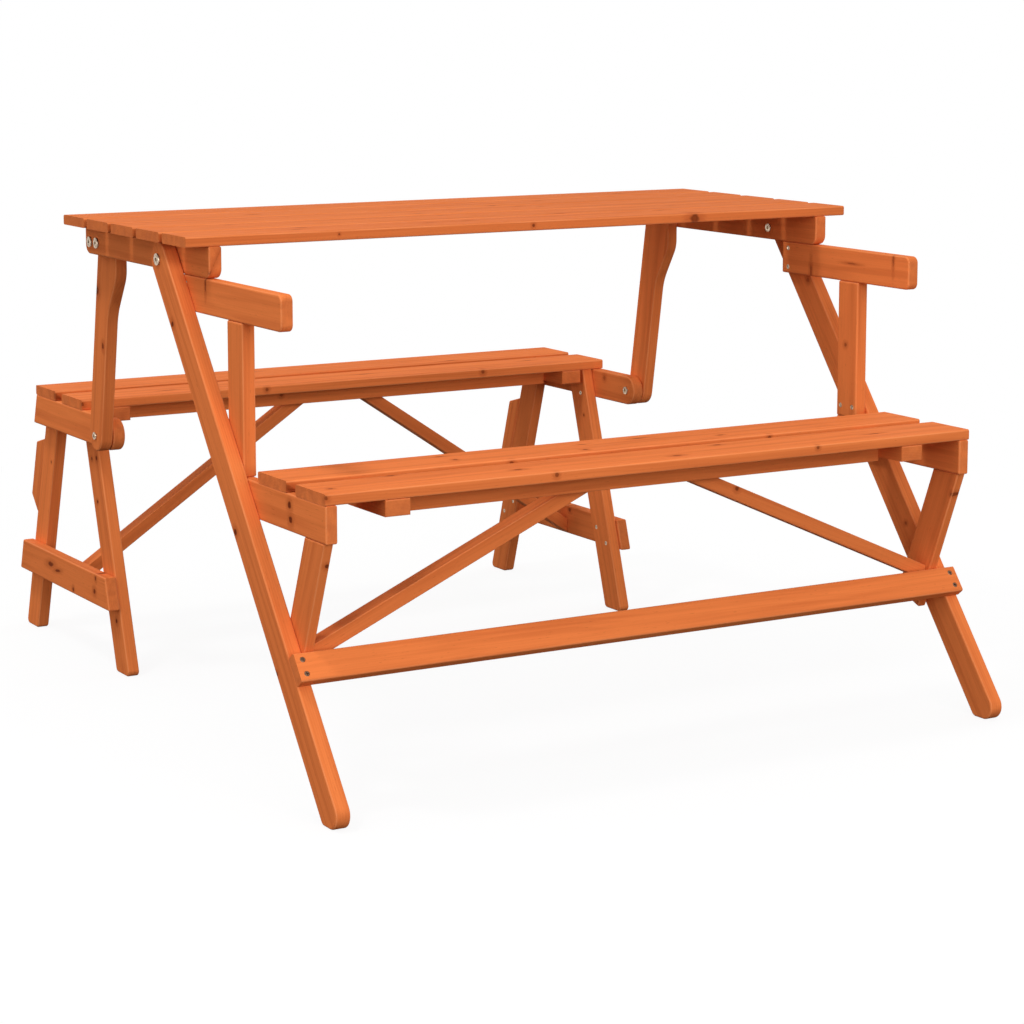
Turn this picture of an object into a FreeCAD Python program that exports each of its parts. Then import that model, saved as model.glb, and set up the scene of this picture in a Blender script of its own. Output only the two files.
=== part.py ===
"""Garden table with two benches that folds into one bench with a back.

The frame stands on the floor at z = 0. X runs along the table, -Y is the side of the
front bench, and the origin is on the floor under the middle of the whole frame.
All sizes are in millimetres.
"""
import FreeCAD, Part
import math
import os

Vector = FreeCAD.Vector

# Overall sizes
table_length = 1150.0
table_height = 750.0
seat_height = 438.0
table_middle = -19.0

# Slats
table_slat_t = 15.0
table_slat_count = 5
table_slat_gap = 12.0
seat_slat_w = 90.0
seat_slat_t = 16.0
seat_slat_gap = 28.0
slat_round = 3.0

# Board sections, width by thickness
leg_w = 50.0
leg_t = 22.0
cleat_h = 46.0
cleat_t = 20.5
arm_w = 49.0
arm_t = 20.0
armrest_h = 51.0
armrest_t = 19.0
post_w = 50.0
post_t = 20.0
bearer_h = 50.0
front_bearer_t = 18.0
rear_bearer_t = 20.0
rear_leg_w = 50.0
rear_leg_t = 20.0
short_leg_w = 55.0
short_leg_t = 15.0
end_stretcher_h = 52.0
front_stretcher_w = 42.0
front_stretcher_t = 18.0
batten_w = 38.0
batten_t = 23.0
rail_h = 30.0
rail_t = 20.0
brace_w = 28.0
brace_t = 21.0
edge_round = 3.0

# Layers across the end frames
leg_inset = 12.0
rub_gap = 1.0
batten_clear = 6.5

# Upper pivot, between the long legs and the tabletop
front_overhang = 129.0
leg_top_clear = 2.0
leg_behind_seat = 63.4

# Link arms and lower pivot, between the arms and the rear bench
fold_angle = 99.08
backrest_past_pivot = 26.0
arm_rise_folded = 1.0
arm_head_w = 64.0
arm_head_h = 80.0
arm_taper_h = 62.0
arm_shoulder_round = 45.0
arm_neck_round = 90.0

# Rear bench
backrest_clear = 23.2
rear_splay = 17.4
rear_foot_spread = 204.7
tuck_clearance = 2.0
stretcher_from_floor = 105.0
stretcher_end_proud = 4.0
block_below_backrest = 29.0
block_below_bearer = 30.0
leg_clear_folded = 11.0
block_h = 133.0
block_proud = 35.0
block_top_fall = 10.0
block_foot_rise = 28.0

# Front bench
seat_join_gap = 27.0
post_behind_seat = 46.0
bearer_past_post = 2.0
short_leg_lean = 21.7
short_leg_set_back = 6.0
short_leg_past_crossing = 57.0
stretcher_below_crossing = 0.5
armrest_set_back = 25.0
armrest_gap = 0.3
armrest_fold_clear = 4.5

# Rails and braces under the seats
front_rail_ahead = 27.0
rear_rail_ahead = 18.0
rail_behind_crossing = 2.0
brace_tip_gap = 8.0
front_brace_below_crossing = 11.0
rear_brace_foot_rise = 2.0

# Corner radii seen from the side
foot_heel_round = 10.0
foot_toe_round = 20.0
rear_foot_round = 8.0
cleat_corner = 15.0
armrest_corner = 10.0
small_corner = 2.0

# Fasteners
pivot_bolt_d = 8.0
bolt_end_d = 6.0
upper_head_d = 18.0
upper_head_t = 3.0
lower_head_d = 12.0
lower_head_t = 2.6
cap_d = 13.5
cap_t = 2.5
sleeve_l = 14.0
sleeve_floor = 2.0
socket_across = 5.0
socket_depth = 2.0
coach_head_d = 17.0
coach_head_t = 3.0
coach_shank_d = 6.0
coach_shank_l = 34.0
coach_spacing = 27.0
screw_head_d = 8.0
screw_head_t = 2.5
screw_shank_d = 4.0
screw_shank_l = 34.0
fit_gap = 0.05
face_gap = 0.3

# Screw places; a share is of the board's own size, from its low edge or its middle
stretcher_screw_share = 0.25
frame_screw_share = 0.3
armrest_screw_from_end = 16.0
post_screw_above_foot = 17.0
rear_bearer_screw = (0.14, -0.12)
end_stretcher_low_screw = (0.22, -0.25)
end_stretcher_high_screw = (0.68, 0.25)

# Worked out: layers across the end frames, as distances from the middle
leg_outer = table_length / 2 - leg_inset
leg_inner = leg_outer - leg_t
cleat_outer = leg_inner - rub_gap
cleat_inner = cleat_outer - cleat_t
arm_inner = cleat_inner - arm_t
rear_bearer_outer = arm_inner - rub_gap
rear_bearer_inner = rear_bearer_outer - rear_bearer_t
rear_leg_inner = rear_bearer_inner - rear_leg_t
batten_outer = rear_leg_inner - batten_clear
batten_inner = batten_outer - batten_w
front_bearer_inner = leg_inner - front_bearer_t
short_leg_inner = leg_inner - short_leg_t

# Worked out: heights
table_under = table_height - table_slat_t
cleat_bottom = table_under - cleat_h
armrest_top = cleat_bottom - armrest_gap
armrest_bottom = armrest_top - armrest_h
front_seat_under = seat_height - seat_slat_t
rear_seat_under = front_seat_under - tuck_clearance
bearer_bottom = rear_seat_under - bearer_h

# Worked out: the tabletop, deep enough to reach the seat when it is the backrest
slat_above_pivot = leg_w / 2 + leg_top_clear
upper_pivot_z = table_under - slat_above_pivot
lower_pivot_z = rear_seat_under - bearer_h / 2
pivot_drop = upper_pivot_z - lower_pivot_z
rear_overhang = pivot_drop + backrest_past_pivot
table_depth = front_overhang + rear_overhang
table_slat_w = (table_depth + table_slat_gap) / table_slat_count - table_slat_gap
table_front = table_middle - table_depth / 2
table_rear = table_middle + table_depth / 2
upper_pivot = (table_front + front_overhang, upper_pivot_z)

# Worked out: the link between the pivots, and the backrest's lower edge
fold = math.radians(fold_angle)
pivot_reach = pivot_drop * math.tan(fold / 2)
lower_pivot = (upper_pivot[0] + pivot_reach, lower_pivot_z)
backrest_low_y = upper_pivot[0] + math.cos(fold) * rear_overhang + math.sin(fold) * slat_above_pivot
backrest_low_z = upper_pivot[1] - math.sin(fold) * rear_overhang + math.cos(fold) * slat_above_pivot

# Worked out: the seats, side by side when folded, then the frames that carry them
seat_depth = 2 * seat_slat_w + seat_slat_gap
splay_tan = math.tan(math.radians(rear_splay))
leg_half = rear_leg_w / 2 / math.cos(math.radians(rear_splay))
leg_past_seat = rear_foot_spread + leg_half - backrest_low_z * splay_tan - seat_depth / 2
seat_to_backrest = max(backrest_clear, leg_past_seat + leg_clear_folded)
rear_middle_folded = backrest_low_y - seat_to_backrest - seat_depth / 2
rear_middle = rear_middle_folded + 2 * pivot_reach
front_middle = rear_middle_folded - seat_depth - seat_join_gap
seat_front = front_middle - seat_depth / 2
post_front = front_middle + seat_depth / 2 + post_behind_seat
post_rear = post_front + post_w
post_middle = (post_front + post_rear) / 2
leg_at_seat = front_middle + seat_depth / 2 + leg_behind_seat
leg_rise = upper_pivot[1] - front_seat_under
leg_lean = math.degrees(math.atan2(upper_pivot[0] - leg_at_seat, leg_rise))
block_top = min(backrest_low_z - block_below_backrest, bearer_bottom - block_below_bearer)
block_bottom = block_top - block_h
arm_rise = math.atan2(arm_rise_folded, leg_at_seat - leg_behind_seat - lower_pivot[0] + 2 * pivot_reach)
arm_lean = fold_angle - 90 + math.degrees(arm_rise)

# Worked out: the armrest, which the folded cleat must pass behind
cleat_below_pivot = upper_pivot[1] - cleat_bottom
cleat_tilt = fold - math.pi / 2
cleat_swing = cleat_below_pivot / math.cos(cleat_tilt)
cleat_lean_top = (upper_pivot[1] - armrest_top) * math.tan(cleat_tilt)
cleat_lean_bottom = (upper_pivot[1] - armrest_bottom) * math.tan(cleat_tilt)
cleat_lean = max(cleat_lean_top, cleat_lean_bottom)
armrest_rear = upper_pivot[0] - cleat_swing - cleat_lean - armrest_fold_clear
armrest_front = front_middle + armrest_set_back


def lean_axes(degrees):
    """Unit vectors in (y, z): up a board that leans towards +Y, and across it to -Y."""
    lean = math.radians(degrees)
    up = (math.sin(lean), math.cos(lean))
    across = (-math.cos(lean), math.sin(lean))
    return up, across


def shift(point, *steps):
    """The point (a, b) moved by each (direction, distance) in turn."""
    a, b = point
    for direction, distance in steps:
        a += direction[0] * distance
        b += direction[1] * distance
    return a, b


def at_height(point, direction, height):
    """Where the line through point along direction is at the given height."""
    return shift(point, (direction, (height - point[1]) / direction[1]))


def crossing_point():
    """Where the front edges of the long and the short leg cross, in (y, z)."""
    up, across = lean_axes(leg_lean)
    y, z = shift(upper_pivot, (across, leg_w / 2))
    slope = up[0] / up[1]
    short_slope = math.tan(math.radians(short_leg_lean))
    short_y = seat_front + short_leg_set_back
    height = (short_y - y + slope * z + short_slope * bearer_bottom) / (slope + short_slope)
    return y + slope * (height - z), height


def rounded_wire(corners, place):
    """Closed wire through corners (a, b, radius); place makes a 3-D point of (a, b)."""
    edges = []
    starts = []
    ends = []
    for i, (a, b, radius) in enumerate(corners):
        here = Vector(a, b, 0)
        before = Vector(*corners[i - 1][:2], 0) - here
        after = Vector(*corners[(i + 1) % len(corners)][:2], 0) - here
        before.normalize()
        after.normalize()
        half = before.getAngle(after) / 2
        setback = radius / math.tan(half)
        start = here + before * setback
        end = here + after * setback
        starts.append(place(start))
        ends.append(place(end))
        if radius > 0:
            middle = (before + after).normalize() * (radius / math.sin(half) - radius) + here
            edges.append(Part.Arc(place(start), place(middle), place(end)).toShape())
    for i, end in enumerate(ends):
        start = starts[(i + 1) % len(starts)]
        if end.distanceToPoint(start) > 1e-6:
            edges.append(Part.LineSegment(end, start).toShape())
    return Part.Wire(Part.__sortEdges__(edges))


def eased(solid, axis, radius=edge_round):
    """The board with the edges of its two broad faces rounded over."""
    box = solid.BoundBox
    low = (box.XMin, box.YMin, box.ZMin)[axis]
    high = (box.XMax, box.YMax, box.ZMax)[axis]
    edges = []
    for edge in solid.Edges:
        values = [vertex.Point[axis] for vertex in edge.Vertexes]
        for level in (low, high):
            if all(abs(value - level) < 1e-6 for value in values):
                edges.append(edge)
    return solid.makeFillet(radius, edges)


def side_board(corners, side, outer, inner):
    """Board that stands in an end frame: outline in (y, z), thickness from inner to outer."""
    wire = rounded_wire(corners, lambda p: Vector(side * inner, p.x, p.y))
    solid = Part.Face(wire).extrude(Vector(side * (outer - inner), 0, 0))
    return eased(solid, 0)


def long_board(corners, half_length):
    """Board that runs along the table: section in (y, z), centred on X = 0."""
    wire = rounded_wire(corners, lambda p: Vector(-half_length, p.x, p.y))
    return Part.Face(wire).extrude(Vector(2 * half_length, 0, 0))


def rectangle(a0, a1, b0, b1, radius=0.0):
    """Corners of a rectangle with one radius."""
    return [(a0, b0, radius), (a1, b0, radius), (a1, b1, radius), (a0, b1, radius)]


def rod(diameter, start, end):
    """Cylinder from start to end."""
    axis = end - start
    return Part.makeCylinder(diameter / 2, axis.Length, start, axis)


def fastener(start, direction, head_d, head_t, shank_d, shank_l, grow=0.0):
    """Head and shank; start is on the top of the head. With grow it is the hole."""
    seat = start + direction * head_t
    head = rod(head_d + 2 * grow, start - direction * grow, seat)
    shank = rod(shank_d + 2 * grow, seat, seat + direction * (shank_l + grow))
    return head.fuse(shank).removeSplitter()


def drilled(pieces, names, holes):
    """Cut each hole out of the named pieces."""
    for name in names:
        pieces[name] = pieces[name].cut(holes)


def key_socket(top, direction):
    """Hexagonal hole for a key, sunk along direction from the middle of a flat head."""
    radius = socket_across / math.sqrt(3)
    points = []
    for i in range(7):
        angle = math.radians(60 * i)
        points.append(top + Vector(0, radius * math.cos(angle), radius * math.sin(angle)))
    return Part.Face(Part.makePolygon(points)).extrude(direction * socket_depth)


def pivot_bolt(start, direction, head_d, head_t, nut_face):
    """Bolt with a flat head at start and a thin end that reaches into the cap nut's sleeve."""
    seat = start + direction * head_t
    mouth = nut_face - direction * (sleeve_l + face_gap)
    head = rod(head_d, start, seat)
    shoulder = rod(pivot_bolt_d, seat, mouth)
    end = rod(bolt_end_d, mouth, nut_face - direction * (sleeve_floor + face_gap))
    return head.fuse([shoulder, end]).removeSplitter().cut(key_socket(start, direction))


def cap_nut(face, direction):
    """Flat round nut: its cap lies on the board at face, its sleeve stands in the bore."""
    cap = rod(cap_d, face, face + direction * cap_t)
    sleeve = rod(pivot_bolt_d, face, face - direction * sleeve_l)
    hollow_end = face - direction * sleeve_floor
    hollow = rod(bolt_end_d + 2 * fit_gap, face - direction * (sleeve_l + 1), hollow_end)
    body = cap.fuse(sleeve).removeSplitter().cut(hollow)
    return body.cut(key_socket(face + direction * cap_t, -direction))


def table_slats():
    """The tabletop's slats, side by side with gaps; the first is the rearmost."""
    pieces = {}
    pitch = table_slat_w + table_slat_gap
    for i in range(table_slat_count):
        rear = table_rear - i * pitch
        section = rectangle(rear - table_slat_w, rear, table_under, table_height, slat_round)
        pieces[f"table_slat_{i + 1}"] = long_board(section, table_length / 2)
    return pieces


def table_frame(side, name):
    """Cleat under the slats and the link arm bolted to its rear end."""
    cleat = [
        (table_front, cleat_bottom, cleat_corner),
        (table_rear, cleat_bottom, cleat_corner),
        (table_rear, table_under, small_corner),
        (table_front, table_under, small_corner),
    ]
    up, across = lean_axes(-arm_lean)
    rear_low = shift(lower_pivot, (across, -arm_w / 2), (up, -arm_w / 2))
    front_low = shift(lower_pivot, (across, arm_w / 2), (up, -arm_w / 2))
    rear_top = at_height(rear_low, up, table_under)
    head_front = rear_top[0] - arm_head_w
    neck = at_height(front_low, up, table_under - arm_head_h - arm_taper_h)
    arm = [
        (*rear_low, arm_w / 2),
        (*rear_top, small_corner),
        (head_front, table_under, small_corner),
        (head_front, table_under - arm_head_h, arm_shoulder_round),
        (*neck, arm_neck_round),
        (*front_low, arm_w / 2),
    ]
    return {
        f"table_cleat_{name}": side_board(cleat, side, cleat_outer, cleat_inner),
        f"link_arm_{name}": side_board(arm, side, cleat_inner, arm_inner),
    }


def long_leg(side, name):
    """Slanted leg from the upper pivot to the front foot, round at the top."""
    up, across = lean_axes(leg_lean)
    top = shift(upper_pivot, (up, leg_w / 2))
    front_top = shift(top, (across, leg_w / 2))
    rear_top = shift(top, (across, -leg_w / 2))
    outline = [
        (*front_top, leg_w / 2),
        (*rear_top, leg_w / 2),
        (*at_height(rear_top, up, 0), foot_heel_round),
        (*at_height(front_top, up, 0), foot_toe_round),
    ]
    return {f"long_leg_{name}": side_board(outline, side, leg_outer, leg_inner)}


def short_leg(side, name):
    """Leg that props the front of the seat bearer on the long leg."""
    up, across = lean_axes(-short_leg_lean)
    front_top = (seat_front + short_leg_set_back, bearer_bottom)
    front_low = at_height(front_top, up, crossing_point()[1] - short_leg_past_crossing)
    rear_low = shift(front_low, (across, -short_leg_w))
    outline = [
        (*front_top, 0),
        (*front_low, small_corner),
        (*rear_low, small_corner),
        (*at_height(rear_low, up, bearer_bottom), 0),
    ]
    return {f"short_leg_{name}": side_board(outline, side, leg_inner, short_leg_inner)}


def front_end_frame(side, name):
    """Seat bearer, armrest and its post, on the inner face of the long leg."""
    bearer_rear = post_rear + bearer_past_post
    bearer = rectangle(seat_front, bearer_rear, bearer_bottom, front_seat_under, small_corner)
    armrest = [
        (armrest_front, armrest_bottom, armrest_corner),
        (armrest_rear, armrest_bottom, small_corner),
        (armrest_rear, armrest_top, small_corner),
        (armrest_front, armrest_top, armrest_corner),
    ]
    post = rectangle(post_front, post_rear, front_seat_under, armrest_bottom, small_corner)
    return {
        f"front_bearer_{name}": side_board(bearer, side, leg_inner, front_bearer_inner),
        f"armrest_{name}": side_board(armrest, side, leg_inner, leg_inner - armrest_t),
        f"armrest_post_{name}": side_board(post, side, leg_inner, leg_inner - post_t),
    }


def front_stretcher():
    """Board across the front faces of the long legs, just under the short legs."""
    up, across = lean_axes(leg_lean)
    upper = shift(crossing_point(), (up, -stretcher_below_crossing))
    lower = shift(upper, (up, -front_stretcher_w))
    section = [
        (*lower, edge_round),
        (*shift(lower, (across, front_stretcher_t)), edge_round),
        (*shift(upper, (across, front_stretcher_t)), edge_round),
        (*upper, edge_round),
    ]
    return {"front_stretcher": long_board(section, leg_outer)}


def seat(prefix, middle, under, half_length, rail_rear):
    """Two slats, two battens across them and a rail between the battens."""
    pieces = {}
    edges = {
        "front": middle - seat_depth / 2,
        "rear": middle + seat_depth / 2 - seat_slat_w,
    }
    for place, edge in edges.items():
        section = rectangle(edge, edge + seat_slat_w, under, under + seat_slat_t, slat_round)
        pieces[f"{prefix}_seat_slat_{place}"] = long_board(section, half_length)
    for side, name in ((-1, "left"), (1, "right")):
        batten = Part.makeBox(batten_w, seat_depth, batten_t)
        left = min(side * batten_inner, side * batten_outer)
        batten.translate(Vector(left, middle - seat_depth / 2, under - batten_t))
        pieces[f"{prefix}_seat_batten_{name}"] = eased(batten, 1, small_corner)
    section = rectangle(rail_rear - rail_t, rail_rear, under - rail_h, under, small_corner)
    pieces[f"{prefix}_seat_rail"] = long_board(section, batten_inner)
    return pieces


def brace(side, front, under, foot_x, foot_z):
    """Slanted brace from an end frame up to the middle of the seat, behind its rail."""
    run = foot_x - brace_tip_gap
    slope = (under - foot_z) / run
    height = brace_t * math.hypot(1, slope)
    corners = [
        (side * foot_x, foot_z, 0),
        (side * foot_x, foot_z + height, 0),
        (side * (brace_tip_gap + height / slope), under, 0),
        (side * brace_tip_gap, under, 0),
    ]
    wire = rounded_wire(corners, lambda p: Vector(p.x, front, p.y))
    solid = Part.Face(wire).extrude(Vector(0, brace_w, 0))
    return eased(solid, 1, small_corner)


def rear_leg(facing, name, side, side_name):
    """Leg of the rear bench; facing is -1 for the front leg and 1 for the back leg."""
    up, across = lean_axes(-facing * rear_splay)
    foot = (rear_middle + facing * rear_foot_spread, 0)
    front = shift(foot, (across, rear_leg_w / 2))
    rear = shift(foot, (across, -rear_leg_w / 2))
    outline = [
        (*at_height(front, up, 0), rear_foot_round),
        (*at_height(rear, up, 0), rear_foot_round),
        (*at_height(rear, up, rear_seat_under), 0),
        (*at_height(front, up, rear_seat_under), 0),
    ]
    board = side_board(outline, side, rear_bearer_inner, rear_leg_inner)
    return {f"rear_bench_{name}_leg_{side_name}": board}


def splayed_edge(facing, height, proud=0.0):
    """Y of the outer edge of a rear bench leg at a height, moved out by proud."""
    return rear_middle + facing * (rear_foot_spread + leg_half - height * splay_tan + proud)


def rear_end_frame(side, name):
    """Bearer, low stretcher and stop block of the rear bench."""
    radius = bearer_h / 2
    nose = lower_pivot[0] - radius
    back = rear_middle + seat_depth / 2
    bearer = [
        (nose, bearer_bottom, radius),
        (back + bearer_h * splay_tan, bearer_bottom, small_corner),
        (back, rear_seat_under, small_corner),
        (nose, rear_seat_under, radius),
    ]
    low = stretcher_from_floor
    high = low + end_stretcher_h
    stretcher = [
        (splayed_edge(-1, low, stretcher_end_proud), low, small_corner),
        (splayed_edge(1, low, stretcher_end_proud), low, small_corner),
        (splayed_edge(1, high, stretcher_end_proud), high, small_corner),
        (splayed_edge(-1, high, stretcher_end_proud), high, small_corner),
    ]
    block_high = block_top - block_top_fall
    block_low = block_bottom + block_foot_rise
    block = [
        (splayed_edge(1, block_bottom), block_bottom, 0),
        (splayed_edge(1, block_low, block_proud), block_low, small_corner),
        (splayed_edge(1, block_high, block_proud), block_high, small_corner),
        (splayed_edge(1, block_top), block_top, 0),
    ]
    block_board = side_board(block, side, rear_bearer_inner, rear_leg_inner)
    bearer_board = side_board(bearer, side, rear_bearer_outer, rear_bearer_inner)
    stretcher_board = side_board(stretcher, side, rear_bearer_outer, rear_bearer_inner)
    return {
        f"rear_bearer_{name}": bearer_board,
        f"rear_end_stretcher_{name}": stretcher_board,
        f"stop_block_{name}": block_board,
    }


def upper_pivot_bolts(pieces):
    """Bolts that the table turns on: head outside the leg, cap nut inside the cleat."""
    bolts = []
    nuts = []
    for side, name in ((-1, "left"), (1, "right")):
        inward = Vector(-side, 0, 0)
        start = Vector(side * (leg_outer + upper_head_t), *upper_pivot)
        nut_face = Vector(side * (cleat_inner - face_gap), *upper_pivot)
        bolts.append(pivot_bolt(start, inward, upper_head_d, upper_head_t, nut_face))
        nuts.append(cap_nut(nut_face, inward))
        bore = rod(pivot_bolt_d + 2 * fit_gap, start, nut_face + inward * cap_t)
        drilled(pieces, (f"long_leg_{name}", f"table_cleat_{name}"), bore)
    pieces["upper_pivot_bolts"] = Part.makeCompound(bolts)
    pieces["upper_pivot_nuts"] = Part.makeCompound(nuts)


def lower_pivot_bolts(pieces):
    """Bolts that the rear bench turns on: head outside the arm, cap nut inside the bearer."""
    bolts = []
    nuts = []
    for side, name in ((-1, "left"), (1, "right")):
        inward = Vector(-side, 0, 0)
        start = Vector(side * (cleat_inner + face_gap + lower_head_t), *lower_pivot)
        nut_face = Vector(side * rear_bearer_inner, *lower_pivot)
        bolts.append(pivot_bolt(start, inward, lower_head_d, lower_head_t, nut_face))
        nuts.append(cap_nut(nut_face, inward))
        bore = rod(pivot_bolt_d + 2 * fit_gap, start, nut_face + inward * cap_t)
        drilled(pieces, (f"link_arm_{name}", f"rear_bearer_{name}"), bore)
    pieces["lower_pivot_bolts"] = Part.makeCompound(bolts)
    pieces["lower_pivot_nuts"] = Part.makeCompound(nuts)


def coach_screws(pieces):
    """Two coach screws at each side, through the cleat into the head of the link arm."""
    screws = []
    up, _ = lean_axes(-arm_lean)
    rear_top = at_height(shift(lower_pivot, ((1, 0), arm_w / 2)), up, upper_pivot[1])
    sizes = (coach_head_d, coach_head_t, coach_shank_d, coach_shank_l)
    for side, name in ((-1, "left"), (1, "right")):
        inward = Vector(-side, 0, 0)
        for step in (-0.5, 0.5):
            y = rear_top[0] - arm_head_w / 2 + step * coach_spacing
            start = Vector(side * (cleat_outer + coach_head_t), y, upper_pivot[1])
            tip = start + inward * (coach_head_t + coach_shank_l + fit_gap)
            screws.append(fastener(start, inward, *sizes).cut(key_socket(start, inward)))
            hole = rod(coach_shank_d + 2 * fit_gap, start, tip)
            drilled(pieces, (f"table_cleat_{name}", f"link_arm_{name}"), hole)
    pieces["arm_coach_screws"] = Part.makeCompound(screws)


def wood_screws(pieces, node, places):
    """Flush screws. places lists (point on the surface, direction, pieces they join)."""
    screws = []
    sizes = (screw_head_d, screw_head_t, screw_shank_d, screw_shank_l)
    for point, direction, names in places:
        screws.append(fastener(point, direction, *sizes))
        drilled(pieces, names, fastener(point, direction, *sizes, fit_gap))
    pieces[node] = Part.makeCompound(screws)


def front_screw_places():
    """Screws of the front stretcher, the armrests and their posts."""
    places = []
    up, across = lean_axes(leg_lean)
    to_middle = -stretcher_below_crossing - front_stretcher_w / 2
    middle = shift(crossing_point(), (up, to_middle), (across, front_stretcher_t))
    into_leg = Vector(0, -across[0], -across[1])
    for side, name in ((-1, "left"), (1, "right")):
        leg = f"long_leg_{name}"
        for step in (-stretcher_screw_share, stretcher_screw_share):
            y, z = shift(middle, (up, step * front_stretcher_w))
            point = Vector(side * (leg_outer + leg_inner) / 2, y, z)
            places.append((point, into_leg, ("front_stretcher", leg)))
        outward = Vector(side, 0, 0)
        for step in (-frame_screw_share, frame_screw_share):
            y = armrest_rear - armrest_screw_from_end
            z = (armrest_top + armrest_bottom) / 2 + step * armrest_h
            point = Vector(side * (leg_inner - armrest_t), y, z)
            places.append((point, outward, (f"armrest_{name}", leg)))
            y = post_middle + step * post_w
            z = front_seat_under + post_screw_above_foot
            point = Vector(side * (leg_inner - post_t), y, z)
            places.append((point, outward, (f"armrest_post_{name}", leg)))
    return places


def rear_screw_places():
    """Screws of the rear bench legs, driven from the inside."""
    places = []
    joints = (
        ("rear_bearer", bearer_bottom, bearer_h, rear_bearer_screw),
        ("rear_end_stretcher", stretcher_from_floor, end_stretcher_h, end_stretcher_low_screw),
        ("rear_end_stretcher", stretcher_from_floor, end_stretcher_h, end_stretcher_high_screw),
    )
    for side, side_name in ((-1, "left"), (1, "right")):
        for facing, name in ((-1, "front"), (1, "back")):
            for board, low, height, (share, across) in joints:
                z = low + share * height
                y = splayed_edge(facing, z, -leg_half) - facing * across * rear_leg_w
                point = Vector(side * rear_leg_inner, y, z)
                names = (f"rear_bench_{name}_leg_{side_name}", f"{board}_{side_name}")
                places.append((point, Vector(side, 0, 0), names))
    return places


def build():
    """Make every piece, then drill and fasten them."""
    pieces = table_slats()
    pieces.update(front_stretcher())
    crossing_y, crossing_z = crossing_point()
    front_brace_y = max(front_middle - front_rail_ahead, crossing_y + rail_behind_crossing)
    rear_brace_y = rear_middle - rear_rail_ahead
    pieces.update(seat("front", front_middle, front_seat_under, leg_inner, front_brace_y))
    pieces.update(seat("rear", rear_middle, rear_seat_under, rear_bearer_outer, rear_brace_y))
    front_brace_foot_z = crossing_z - front_brace_below_crossing
    rear_brace_foot_z = stretcher_from_floor + rear_brace_foot_rise
    for side, name in ((-1, "left"), (1, "right")):
        pieces.update(table_frame(side, name))
        pieces.update(long_leg(side, name))
        pieces.update(short_leg(side, name))
        pieces.update(front_end_frame(side, name))
        pieces.update(rear_leg(-1, "front", side, name))
        pieces.update(rear_leg(1, "back", side, name))
        pieces.update(rear_end_frame(side, name))
        pieces[f"front_brace_{name}"] = brace(
            side, front_brace_y, front_seat_under, short_leg_inner, front_brace_foot_z
        )
        pieces[f"rear_brace_{name}"] = brace(
            side, rear_brace_y, rear_seat_under, rear_bearer_inner, rear_brace_foot_z
        )
    upper_pivot_bolts(pieces)
    lower_pivot_bolts(pieces)
    coach_screws(pieces)
    wood_screws(pieces, "front_bench_screws", front_screw_places())
    wood_screws(pieces, "rear_bench_screws", rear_screw_places())
    return pieces


def main():
    """Write one file per piece and print the pivots for the joints."""
    os.makedirs("parts", exist_ok=True)
    for name, shape in sorted(build().items()):
        shape.exportStep(f"parts/{name}.step")
        print(name, len(shape.Solids), shape.isValid(), round(shape.Volume))
    print("upper pivot", upper_pivot, "lower pivot", lower_pivot, "fold", fold_angle)


main()
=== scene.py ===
"""Looks of a garden table with two benches: stained pine boards and zinc-plated fasteners.

Everything is in metres in the frame of the CAD model. The floor is at z = 0, X runs along
the table and -Y is the side of the front bench. Sizes of small things are written in
millimetres and turned to metres with MM.
"""
import logging
import math
import random
from dataclasses import dataclass, field
from enum import Enum
from functools import partial

import bmesh
import bpy
from mathutils import Matrix, Vector


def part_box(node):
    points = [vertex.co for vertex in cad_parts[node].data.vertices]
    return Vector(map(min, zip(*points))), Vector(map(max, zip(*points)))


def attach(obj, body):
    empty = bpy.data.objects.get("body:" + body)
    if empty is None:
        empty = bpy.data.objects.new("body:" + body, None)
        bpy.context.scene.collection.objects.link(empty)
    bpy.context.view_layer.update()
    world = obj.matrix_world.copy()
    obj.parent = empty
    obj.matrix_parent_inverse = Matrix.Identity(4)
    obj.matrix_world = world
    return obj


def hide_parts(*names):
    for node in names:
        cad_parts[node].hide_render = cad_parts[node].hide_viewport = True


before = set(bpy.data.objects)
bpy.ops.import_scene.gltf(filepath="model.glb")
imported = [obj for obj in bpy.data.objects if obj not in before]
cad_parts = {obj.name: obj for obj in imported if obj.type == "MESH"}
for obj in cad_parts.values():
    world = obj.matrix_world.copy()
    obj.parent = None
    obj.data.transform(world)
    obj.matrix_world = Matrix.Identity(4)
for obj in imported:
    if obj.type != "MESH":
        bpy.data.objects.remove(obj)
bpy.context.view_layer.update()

Point = tuple[float, float, float]
Span = tuple[float, float]
Cut = tuple[str, Vector, Vector]
"""A board's name and the directions of its grain and of its thickness."""
Skin = bmesh.types.BMesh
Edge = bmesh.types.BMEdge
Face = bmesh.types.BMFace
Corner = bmesh.types.BMVert
Node = bpy.types.Node
Socket = bpy.types.NodeSocket
Tree = bpy.types.NodeTree
Material = bpy.types.Material

MM = 0.001
MERGE_DISTANCE = 0.002 * MM
"""Corners of the CAD model's loose triangles that are nearer than this are one corner."""
BOARD_SHARP_ANGLE = math.radians(40)
FASTENER_SHARP_ANGLE = math.radians(32)

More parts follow.
